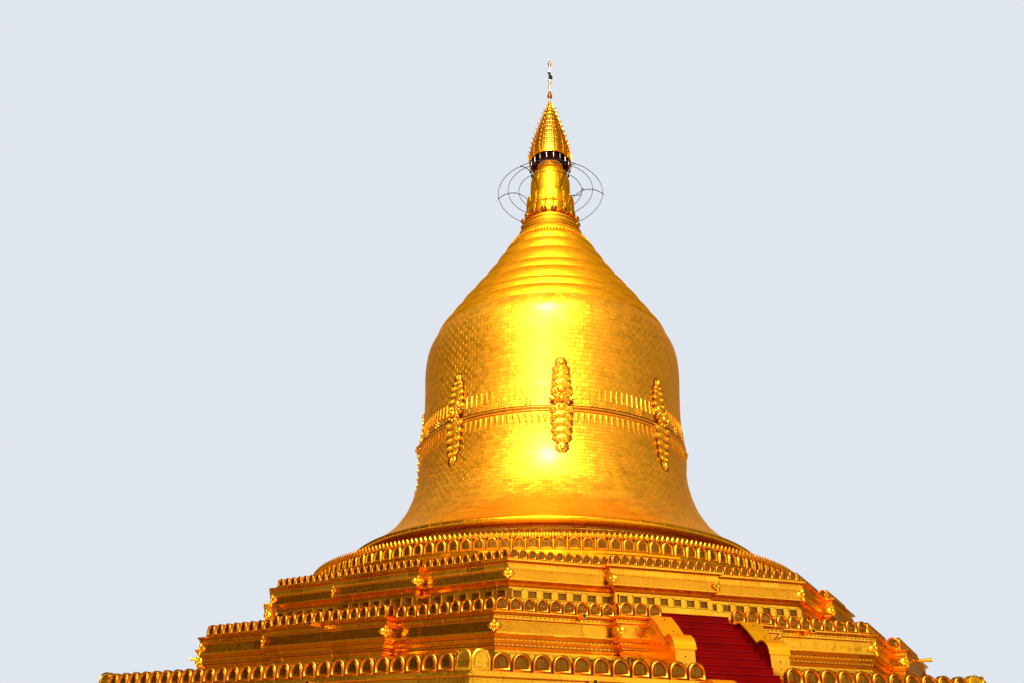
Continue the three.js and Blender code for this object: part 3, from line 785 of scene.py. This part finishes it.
def upside_down(shape):
    return turn(shape, pi, "Y")


def pebble(half_width, depth, half_height, around=10, up=7):
    """A rounded boss of three half sizes."""
    return ball(bmesh.new(), 1, (0, 0, 0), (half_width, depth, half_height), around, up)


BAND_PETALS = 152
petals = bmesh.new()
join(petals, lancet(0.1, 0.56, 0.008, 0.016, 0.8), on_bell(0, 14.27))
join(petals, upside_down(lancet(0.14, 0.5, 0.008, 0.016, 0.95)), on_bell(0, 13.66))
finished("band_petals", ring_of(petals, BAND_PETALS), bell_gold)

rosettes = bmesh.new()
ROSETTE_HEIGHT = 14.09
ROSETTE_SHARES = (0.28, 0.49, 0.72)
ROSETTE_SPOTS = [(0, 0), (0, 0.13), (0, -0.13)]
ROSETTE_SPOTS += [(across, up) for across in (0.1, -0.1) for up in (0.06, -0.06)]
for share in ROSETTE_SHARES:
    swing = about("Z", ORNAMENT_TURN + SIDE_TURN * share)
    for across, up in ROSETTE_SPOTS:
        join(rosettes, pebble(0.055, 0.0385, 0.055, 8, 6), swing @ on_bell(across, ROSETTE_HEIGHT + up))
finished("band_rosettes", ring_of(rosettes, ORNAMENTS), bell_gold)

# The ornaments on the bell: curled scrolls in pairs about a chain of bosses.
# Each row of scrolls: height, offset from the middle, radius.
SCROLL_ROWS = (
    (15.6, 0.12, 0.1),
    (15.38, 0.18, 0.12),
    (15.12, 0.24, 0.125),
    (14.82, 0.27, 0.13),
    (14.5, 0.31, 0.135),
    (13.74, 0.33, 0.135),
    (13.42, 0.29, 0.13),
    (13.1, 0.255, 0.125),
    (12.78, 0.22, 0.12),
    (12.5, 0.15, 0.11),
)
# Each boss: height, half width, half height, depth.
BOSSES = (
    (15.78, 0.09, 0.19, 0.06),
    (15.52, 0.15, 0.14, 0.07),
    (15.26, 0.16, 0.13, 0.075),
    (14.96, 0.18, 0.15, 0.08),
    (14.64, 0.22, 0.17, 0.14),
    (13.88, 0.22, 0.16, 0.1),
    (13.56, 0.24, 0.13, 0.1),
    (13.24, 0.22, 0.15, 0.09),
    (12.92, 0.2, 0.14, 0.08),
    (12.62, 0.17, 0.14, 0.075),
    (12.25, 0.1, 0.2, 0.06),
)
HEART_HEIGHT = 14.16
HEART_BEADS = 10


def curl(radius, thick):
    """A curled scroll end seen from the front: a ring with a bead in it."""
    unit = bmesh.new()
    upright = at(radius - thick, 0, 0) @ about("X", pi / 2)
    bmesh.ops.create_circle(unit, segments=6, radius=thick, matrix=upright)
    spin(unit, unit.verts[:] + unit.edges[:], tau, 12, use_merge=True)
    merge(unit)
    turn(unit, pi / 2, "X")
    ball(unit, radius * 0.42, (0, -thick * 0.5, 0), (1, 0.8, 1), 8, 5)
    face_out(unit)
    return unit


def make_ornament():
    """One whole ornament on the front of the bell."""
    shape = bmesh.new()
    for height, offset, radius in SCROLL_ROWS:
        unit = curl(radius, radius * 0.3)
        for hand in (-1, 1):
            add_copy(shape, unit, on_bell(hand * offset, height, 0.05))
        unit.free()
    for height, half_width, half_height, depth in BOSSES:
        join(shape, pebble(half_width, depth, half_height), on_bell(0, height))
        backing = min(half_width + 0.14, half_width * 2)
        join(shape, pebble(backing, 0.06, half_height + 0.06, 12, 6), on_bell(0, height))
    heart = curl(0.24, 0.06)
    ball(heart, 0.13, (0, -0.08, 0), (1, 0.9, 1), 12, 8)
    for step in range(HEART_BEADS):
        angle = tau * step / HEART_BEADS
        ball(heart, 0.055, (0.32 * cos(angle), -0.02, 0.26 * sin(angle)), (1, 0.8, 1), 8, 5)
    for hand in (-1, 1):
        leaf = turn(lancet(0.2, 0.26, 0.05, 0.05), hand * pi / 2, "Y")
        join(heart, leaf, at(hand * 0.26, -0.02, 0))
    join(shape, heart, on_bell(0, HEART_HEIGHT, 0.08))
    join(shape, lancet(0.2, 0.26, 0.06, 0.05), on_bell(0, 15.7, 0.02))
    join(shape, upside_down(lancet(0.2, 0.28, 0.06, 0.05)), on_bell(0, 12.34, 0.02))
    return shape


ornament = make_ornament()
for index in range(ORNAMENTS):
    each = add_copy(bmesh.new(), ornament, about("Z", ORNAMENT_TURN + index * SIDE_TURN))
    node = f"bell_ornament_{index + 1}"
    finished(f"scrollwork_{index + 1}", each, scroll_gold, sharp=45, stands_for=[node])
ornament.free()

# Painted shadow: a dark line round each ornament, where it meets the bell.
ornament_shadow = bmesh.new()
for height, half_width, half_height, _ in BOSSES:
    outer = min(half_width + 0.24, half_width * 2 + 0.08)
    join(ornament_shadow, pebble(outer, 0.03, half_height + 0.1, 12, 5), on_bell(0, height))
join(ornament_shadow, pebble(0.47, 0.03, 0.4, 12, 5), on_bell(0, HEART_HEIGHT))
finished("scrollwork_shadow", ring_of(turn(ornament_shadow, ORNAMENT_TURN), ORNAMENTS), painted_shade_gold)

# Beads on the ledge above the rings, and balls under the lotus.
LEDGE_BEADS = 88
LOTUS_BALLS = 17
BALL_TURN = CAMERA_SIDE + radians(7.3)
beads = ball(bmesh.new(), 0.07, (0, -2.09, 25.22))
finished("ledge_beads", ring_of(beads, LEDGE_BEADS), lotus_gold)
# The balls' brown gold is painted reflection of dark ground.
balls = ring_of(ball(bmesh.new(), 0.165, (0, -1.42, 26.97), around=14, up=10), LOTUS_BALLS)
finished("lotus_balls", turn(balls, BALL_TURN), ball_gold)

# The lotus drum: two rows of round-headed petals, scalloped at top and foot.
LOTUS_PETALS = 16
LOTUS_TURN = radians(4)
PETAL_ROWS = ((26.97, 0.72, 1.275, 0.02), (27.73, 0.78, 1.235, -0.015))
drum_line = [(1.4, 26.7003), (1.4, 26.74), (1.25, 26.76), (1.2, 26.82), (1.22, 26.95), (1.24, 27.0)]
drum_line += [(1.24, 27.62), (1.16, 27.68), (1.2, 27.76), (1.2, 28.48), (1.19, 28.5497)]
turned_piece("drum", drum_line, lotus_gold, ["lotus_drum"], flats=64)
drum_petals = bmesh.new()
for foot, height, radius, lean in PETAL_ROWS:
    width = 2 * radius * tan(pi / LOTUS_PETALS) * 1.01
    unit, front = plate(arch_outline(width * 0.5, 0, height, 10), 0.07)
    step_in(unit, front, (0.02, 0.02), (0.09, 0.025))
    join(drum_petals, unit, at(0, -radius, foot) @ about("X", lean))
    between = about("Z", pi / LOTUS_PETALS) @ at(0, -radius * 1.01, foot + height * 0.5)
    join(drum_petals, pebble(0.05, 0.04, height * 0.46, 8, 8), between)
ring_of(drum_petals, LOTUS_PETALS)
finished("drum_petals", turn(drum_petals, LOTUS_TURN), lotus_gold)
bud_line = smooth_line([(1.07, 28.5503), (1.065, 29.3), (1.04, 29.8), (0.9, 30.28), (0.58, 30.5199)], 8)
turned_piece("bud_skin", bud_line, lotus_gold, ["bud"], flats=72)

# The umbrella crown: a pierced net on ribs over a brown lining, with flames between the ribs.
NET_LINE = ((1.147, 31.13), (1.145, 31.56), (0.98, 32.57), (0.67, 33.75), (0.328, 34.97), (0.1, 35.7))
NET_COLUMNS = 48
RIBS = 8
net_curve = smooth_line(NET_LINE, 6)
net = turned(net_curve, NET_COLUMNS)
holes = []
for (near, low), (far, high) in spans(net_curve[1:-5]):
    row = [face for face in net.faces if low < face.calc_center_median().z < high]
    bmesh.ops.inset_individual(net, faces=row, thickness=near * 0.02, depth=0, use_even_offset=True)
    holes += row
bmesh.ops.delete(net, geom=holes, context="FACES")
bmesh.ops.solidify(net, geom=net.faces[:], thickness=0.02)
face_out(net)
for radius, height in net_curve[:-4:2]:
    inner, outer = radius - 0.02, radius + 0.02
    hoop_line = [(inner, height - 0.02), (outer, height - 0.025), (outer, height + 0.005)]
    join(net, turned([*hoop_line, (inner, height + 0.01), hoop_line[0]], NET_COLUMNS))
join(net, turned([(0, 35.66), (0.11, 35.66), (0.1, 35.72), (0.05, 35.98), (0, 35.98)], 24))
finished("crown_net", net, crown_gold, stands_for=["umbrella_crown"])

# A brown lining inside the net; its dark brown also stands in for the shade inside the crown, as painted
# shade.
lining_line = [(radius - 0.055, height) for radius, height in net_curve[3:-6]]
lining_back = [(radius - 0.02, height) for radius, height in reversed(lining_line)]
lining = turned([*lining_line, *lining_back, lining_line[0]], NET_COLUMNS)
finished("crown_lining", lining, core_brown)

flames = bmesh.new()
for radius, height in net_curve[1:-5:2]:
    flame = turn(lancet(0.08, 0.17, 0.03, 0.02), pi / 2)
    join(flames, flame, at(0, -radius - 0.05, height - 0.04) @ about("X", 0.35))
finished("crown_flames", ring_of(flames, RIBS), crown_gold)
ribs = ring_of(strip_along(bmesh.new(), net_curve, 0, 0.026, 0.024), RIBS)
finished("crown_ribs", turn(ribs, pi / RIBS), crown_gold)

# Rods with small bells hang under the crown's rim, over a beaded collar.
HANGERS = 18
HANGER_RADIUS = 1.08
HANGER_TURN = CAMERA_SIDE + radians(10)


def hung(name, unit, finish):
    """Repeats one hanging piece evenly under the crown's rim."""
    finished(name, turn(ring_of(unit, HANGERS), HANGER_TURN), finish)


rod = turned([(0, 30.72), (0.02, 30.72), (0.02, 31.16), (0, 31.16)], 6)
hung("hanger_rods", shift(rod, 0, -HANGER_RADIUS, 0), rod_silver)
bell_side = [(0, 30.74), (0.02, 30.74), (0.034, 30.71), (0.038, 30.63), (0.06, 30.55), (0, 30.55)]
bells = shift(turned(bell_side, 10), 0, -HANGER_RADIUS, 0)
ball(bells, 0.03, (0, -HANGER_RADIUS, 30.53))
hung("hanger_bells", bells, hoop_iron)
knobs = ball(bmesh.new(), 0.04, (0, -HANGER_RADIUS, 30.84), (1, 1, 0.8))
hung("hanger_knobs", knobs, pale_gold)
COLLAR_BEADS = 24
collar_line = [(0.5, 30.56), (0.66, 30.56), (0.69, 30.6), (0.66, 30.64), (0.66, 30.82), (0.7, 30.86)]
collar = turned([*collar_line, (0.66, 30.92), (0.5, 30.92), collar_line[0]], 48)
for step in range(COLLAR_BEADS):
    angle = tau * step / COLLAR_BEADS
    ball(collar, 0.04, (0.68 * cos(angle), 0.68 * sin(angle), 30.73), around=6, up=5)
finished("collar_ring", collar, lotus_gold)

# Lamps at the ends of the arms and on a bent bracket, the staff's onion and its rings.
BRACKET_TURN = radians(90 - 19.6)
lamps = ball(bmesh.new(), 0.038, (0, -2.9, 28.81), (1, 1, 1.2))
finished("arm_lamps", turn(ring_of(lamps, ARMS), ARM_TURN + pi / 2), lamp_grey)
bracket = strip_along(bmesh.new(), ((1.1, 28.9), (1.6, 28.9), (1.75, 29.25)), 0, 0.035, 0.035)
ball(bracket, 0.05, (0, -1.76, 29.29))
finished("lamp_bracket", turn(bracket, BRACKET_TURN), hoop_iron)
onion_line = smooth_line([(0.045, 36.1), (0.1, 36.14), (0.142, 36.32), (0.102, 36.52), (0.046, 36.72)], 5)
turned_piece("onion", onion_line, onion_gold, flats=24)
STAFF_RINGS = ((36.95, 0.085), (37.1, 0.07), (37.25, 0.09), (37.4, 0.075))
STAFF_RADIUS = 0.043
for number, (middle, radius) in enumerate(STAFF_RINGS):
    low, high = middle - 0.035, middle + 0.035
    ring_line = swelling((STAFF_RADIUS, low), (STAFF_RADIUS, high), radius - STAFF_RADIUS, 5)
    staff_ring = turned([(0, low), *ring_line, (STAFF_RADIUS, high), (0, high)], 20)
    finished(f"staff_ring_{number + 1}", staff_ring, pale_gold)


# Courses on the octagonal walls.
def rails(shape, run, low, high, proud):
    """Straight bars on the outside of a wall, along a run of plan corners, a little sunk in it."""
    for start, length in stretches(run):
        if length >= 0.03:
            place = start @ at(length / 2, (SUNK - proud) / 2, (low + high) / 2)
            block(shape, (length + proud * 0.8, proud + SUNK, high - low), place)


def course(terrace, offset, low, high, proud):
    """A continuous strip round a terrace, standing proud of a wall offset."""
    return all_round(terrace, offset, CHEEK_OUTER, lambda shape, run: rails(shape, run, low, high, proud))


def lattice(terrace):
    """Panels of the recessed course: rails, posts and square frames."""
    panel_low, panel_high = terrace["panels"]
    low, high, width, pitch = terrace["square"]
    height = high - low
    middle = (low + high) / 2
    edge = height * 0.09
    face = -DADO_PROUD - 0.006
    post = bmesh.new()
    post_size = (pitch - width, DADO_PROUD + SUNK, height + 0.02)
    block(post, post_size, at(pitch / 2, (SUNK - DADO_PROUD) / 2, middle))
    for up in (low + edge, high - edge):
        block(post, (width + edge, 0.02, edge), at(0, face, up))
    for hand in (-1, 1):
        block(post, (edge, 0.02, height), at(hand * width / 2, face, middle))

    def fill(shape, run):
        stand_along(shape, post, run, pitch)
        rails(shape, run, high, panel_high, DADO_PROUD)
        rails(shape, run, panel_low, low, DADO_PROUD)

    whole = all_round(terrace, -DADO_DEPTH, CHEEK_OUTER, fill)
    post.free()
    return whole


for terrace in TERRACES:
    label = terrace["name"]
    finished(f"{label}_lattice", lattice(terrace), wall_gold)
    low, high = terrace["square"][:2]
    # Painted shade: darker sheets behind the lattice squares.
    finished(f"{label}_niches", course(terrace, -DADO_DEPTH, low - 0.01, high + 0.01, 0.006), niche_shade_gold)
    low, high = terrace["frieze"]
    finished(f"{label}_frieze", course(terrace, 0, low, high, 0.008), panel_gold)
    lines = course(terrace, 0, low - 0.03, low, 0.022)
    join(lines, course(terrace, 0, high, high + 0.03, 0.022))
    finished(f"{label}_frieze_lines", lines, carved_gold)

# Painted shade: dark lines above and below the fillets, where shadow falls in the creases; wall offset and
# height of each.
CREASE_SHADES = (
    (LOWER, -0.13, 2.6),
    (LOWER, -0.07, 2.72),
    (LOWER, 0.07, 3.235),
    (MIDDLE, -0.13, 4.222),
    (MIDDLE, -0.13, 4.29),
    (MIDDLE, -0.07, 4.4),
    (MIDDLE, 0.07, 4.915),
    (UPPER, 0, 6.425),
    (UPPER, 0.045, 6.64),
)
crease_shade_lines = bmesh.new()
for terrace, offset, low in CREASE_SHADES:
    join(crease_shade_lines, course(terrace, offset, low, low + 0.028, 0.012))
finished("painted_crease_shade", crease_shade_lines, painted_shade_gold)

# Beaded lines under the cornices and on the fillets: wall offset, height and pitch of the studs.
BEADED = (
    (LOWER, 0.07, 3.1, 0.12),
    (MIDDLE, 0.07, 4.88, 0.11),
    (MIDDLE, -0.07, 4.38, 0.11),
    (MIDDLE, -0.13, 4.27, 0.11),
    (UPPER, 0.045, 6.6, 0.1),
    (UPPER, 0.045, 6.46, 0.1),
)
beading = bmesh.new()
for terrace, offset, height, pitch in BEADED:
    stud = bmesh.new()
    place = at(0, -0.008, height) @ Matrix.Diagonal((pitch * 0.48, 0.02, 0.022, 1))
    outward = place @ about("X", pi / 2)
    bmesh.ops.create_cone(stud, segments=4, radius1=1, radius2=0, depth=1, matrix=outward)
    join(beading, row_of(stud, terrace, offset, CHEEK_OUTER, pitch))
finished("cornice_beading", beading, carved_gold)


# Flowers on the corners, bent round them, and spouts under the cornices.
def flower(width, height):
    """A four-petalled flower facing the front, its petals swept back to the sides."""
    unit = bmesh.new()
    for hand in (-1, 1):
        side_petal = turn(lancet(height * 0.52, width * 0.4, 0.02, 0.03), hand * pi / 2, "Y")
        swept = about("Z", hand * radians(22))
        join(unit, side_petal, at(hand * 0.02, -0.005, 0) @ swept)
        tall_petal = lancet(width * 0.38, height * 0.44, 0.02, 0.035)
        join(unit, tall_petal if hand > 0 else upside_down(tall_petal), at(0, -0.015, hand * 0.03))
        for rise in (-1, 1):
            ball(unit, 0.026, (hand * width * 0.17, -0.01, rise * height * 0.19), (1, 0.9, 1))
    ball(unit, 0.048, (0, -0.05, 0), (1, 0.9, 1), 12, 8)
    return unit


flowers = bmesh.new()
for terrace in TERRACES:
    face = terrace["wall"]
    spots = [(face * CORNER, -face, SIDE_TURN / 2)]
    if terrace["bay"]:
        half, out = terrace["bay"]
        spots += [(half, -face - out, SIDE_TURN), (-half, -face - out, -SIDE_TURN)]
    for across, away, facing in spots:
        place = at(across, away, terrace["flower"]) @ about("Z", facing)
        join(flowers, ring_of(join(bmesh.new(), flower(0.44, 0.38), place), SIDES))
finished("corner_flowers", flowers, carved_gold, sharp=45)

SPOUT_LINE = ((0.045, -0.05), (0.05, 0.3), (0.062, 0.31), (0.062, 0.35), (0.045, 0.35), (0.045, -0.05))
# Painted shade: a dark plug inside each spout's mouth, where shadow falls in the bore.
BORE_SHADE_LINE = ((0, 0.2), (0.046, 0.2), (0.046, 0.34), (0, 0.34))


def spout_row(line):
    """A line turned about the way out of every spout, all round both terraces."""
    whole = bmesh.new()
    for terrace in (LOWER, MIDDLE):
        half, out = terrace["bay"] or (0, 0)
        for side, across in terrace["spouts"]:
            away = terrace["wall"] + 0.17 + (out if abs(across) < half else 0)
            tube = shift(turn(turned(line, 14), pi / 2, "X"), across, -away, terrace["spout"] - 0.1)
            join(whole, ring_of(turn(tube, side * SIDE_TURN), STAIRS))
    return whole


finished("spouts", spout_row(SPOUT_LINE), wall_gold)
# The dark plugs in the spouts are painted shade.
finished("spout_bore_shade", spout_row(BORE_SHADE_LINE), hoop_iron)

# Square piers at the corners of the lower parapet.
piers = bmesh.new()
pier_face = LOWER["wall"] - SETBACK
for hand in (-1, 1):
    head, front = plate(arch_outline(PIER / 2 - 0.01, 0, 0.43, 10), 0.17)
    step_in(head, front, (0.02, 0.012), (0.03, 0), (0.02, -0.015))
    join(piers, head, at(hand * (pier_face * CORNER - PIER / 2), -pier_face, LOWER["band"][1]))
finished("corner_piers", ring_of(piers, SIDES), wall_gold)

# Cheek walls: a coping along the top, mouldings on the faces, and nail heads.
MIDDLE_COPING = [*arc((14.18, 4.1), 0.32, 120, 8), (13.63, 4.72), (13.3, 4.96), (12.98, 4.96)]
LOWER_COPING = [*arc((16.0, 2.88), 0.4, 90, 8), (15.4, 3.26)]
LOWER_SLOPE = [*arc((19.2, 0.62), 0.36, 135, 8)[2:], (16.4, 2.63)]
NAILS = ((14.5, 3.62), (14.5, 3.78), (14.5, 3.94), (13.5, 4.9), (13.95, 4.56), (14.2, 4.46))
cheek_middle = (CHEEK_INNER + CHEEK_OUTER) / 2
cheek_width = CHEEK_OUTER - CHEEK_INNER
copings = bmesh.new()
nails = bmesh.new()
for hand in (-1, 1):
    for line in (MIDDLE_COPING, LOWER_COPING, LOWER_SLOPE):
        strip_along(copings, line, hand * cheek_middle, cheek_width + 0.06, 0.035)
        for lift in (-0.09, -0.17):
            strip_along(copings, line, hand * (CHEEK_OUTER + 0.005), 0.04, 0.025, lift)
    for away, rise in NAILS:
        ball(nails, 0.018, (hand * cheek_middle, -away, rise))
finished("cheek_copings", ring_of(copings, STAIRS), coping_gold)
finished("cheek_nails", ring_of(nails, STAIRS), hoop_iron)

# Nosings of the steps; each flight: steps, tread, distance of the top riser, height of its foot.
FLIGHTS = ((17, 0.27, 15.0, 0), (9, 0.26, 12.72, 3.4))
RISER = 0.2
nosings = bmesh.new()
for steps, tread, top_riser, foot in FLIGHTS:
    for step in range(steps):
        away = top_riser + tread * (steps - 1 - step)
        block(nosings, (1.89, 0.03, 0.02), at(0, -away, foot + RISER * (step + 1) - 0.008))
finished("step_nosings", ring_of(nosings, STAIRS), nosing_red)

# CAD pieces that show as they are: those that aren't wall gold, stairs or hoops.
AS_MADE = {
    "crown_core": core_brown,
    "wind_vane": hoop_iron,
    "staff": pale_gold,
    "diamond_bud": pale_gold,
    "bell_plinth": rim_gold,
    "upper_terrace": eave_gold,
}
for name, thing in nodes.items():
    finish = AS_MADE.get(name, wall_gold)
    if "stair" in name:
        finish = stair_red
    elif name.startswith("lamp_"):
        finish = hoop_iron
    thing.data.materials.clear()
    thing.data.materials.append(finish)

# The faces of the cheek walls towards the steps are painted red.
for name in ("lower_terrace", "middle_terrace"):
    mesh = nodes[name].data
    mesh.materials.append(stair_red)
    for face in mesh.polygons:
        if abs(face.normal.x) > 0.99 and abs(abs(face.center.x) - CHEEK_INNER) < 0.01:
            face.material_index = 1

# Floor, sky light, sun and camera.
ground = bmesh.new()
bmesh.ops.create_grid(ground, x_segments=1, y_segments=1, size=300)
floor_mesh = bpy.data.meshes.new("floor")
ground.to_mesh(floor_mesh)
ground.free()
pale_floor, _, floor_shader, _ = bare_material("pale_floor", 0)
floor_shader["Base Color"].default_value = (0.5, 0.47, 0.43, 1)
floor_shader["Roughness"].default_value = 0.8
floor_mesh.materials.append(pale_floor)
shown("floor", floor_mesh)

LOW_SKY = (0.15, 0.06, 0.025, 1)
HIGH_SKY = (0.46, 0.47, 0.5, 1)
BACKDROP = (1.25, 1.32, 1.42, 1)
world = bpy.data.worlds.new("studio")
bpy.context.scene.world = world
world.use_nodes = True
sky = world.node_tree
across, _, up = split(sky, new_node(sky, "TexCoord").outputs["Generated"])
rise = ramp(sky, total(sky, up, (across, 0.25)), 0.02, 0.4)
seen = new_node(sky, "LightPath").outputs["Is Camera Ray"]
colour = blended(sky, seen, blended(sky, rise, LOW_SKY, HIGH_SKY), BACKDROP)
feed(sky, sky.nodes["Background"].inputs["Color"], colour)
sky.nodes["Background"].inputs["Strength"].default_value = 0.6
sun = bpy.data.lights.new("sun", "SUN")
sun.energy = 6
sun.angle = 0.15
shown("sun", sun).rotation_euler = (radians(45), 0, radians(-20))


def soft_light(name, side, height, size, energy, colour):
    """A large soft lamp to one side of the front, turned towards the stupa."""
    distance, target = 95, 8
    light = bpy.data.lights.new(name, "AREA")
    light.shape = "ELLIPSE"
    light.size, light.size_y = size
    light.energy = energy
    light.color = colour
    aim = about("X", pi / 2 - atan2(height - target, distance))
    shown(name, light).matrix_world = about("Z", radians(side)) @ at(0, -distance, height) @ aim


soft_light("soft_box", -25, 60, (96, 76), 54000, (1, 0.92, 0.8))
soft_light("bright_box", -25, 60, (24, 20), 38000, (1, 0.97, 0.93))
soft_light("low_soft_box", 20, 22, (66, 34), 7900, (1, 0.94, 0.84))
bpy.context.scene.view_settings.view_transform = "Standard"

# The camera stands at eye height to the left of the front, and looks up.
CAMERA_DISTANCE = 33.44
EYE_HEIGHT = 1.51
yaw, pitch, roll = (radians(angle) for angle in (3.24, 28.85, 1.25))
stand = about("Z", CAMERA_SIDE) @ at(0, -CAMERA_DISTANCE, EYE_HEIGHT)
camera = shown("camera", bpy.data.cameras.new("camera"))
camera.data.lens = 27.69
camera.data.sensor_width = 36
camera.data.clip_end = 2000
camera.matrix_world = stand @ about("Z", yaw) @ about("X", pi / 2 + pitch) @ about("Z", roll)
bpy.context.scene.camera = camera
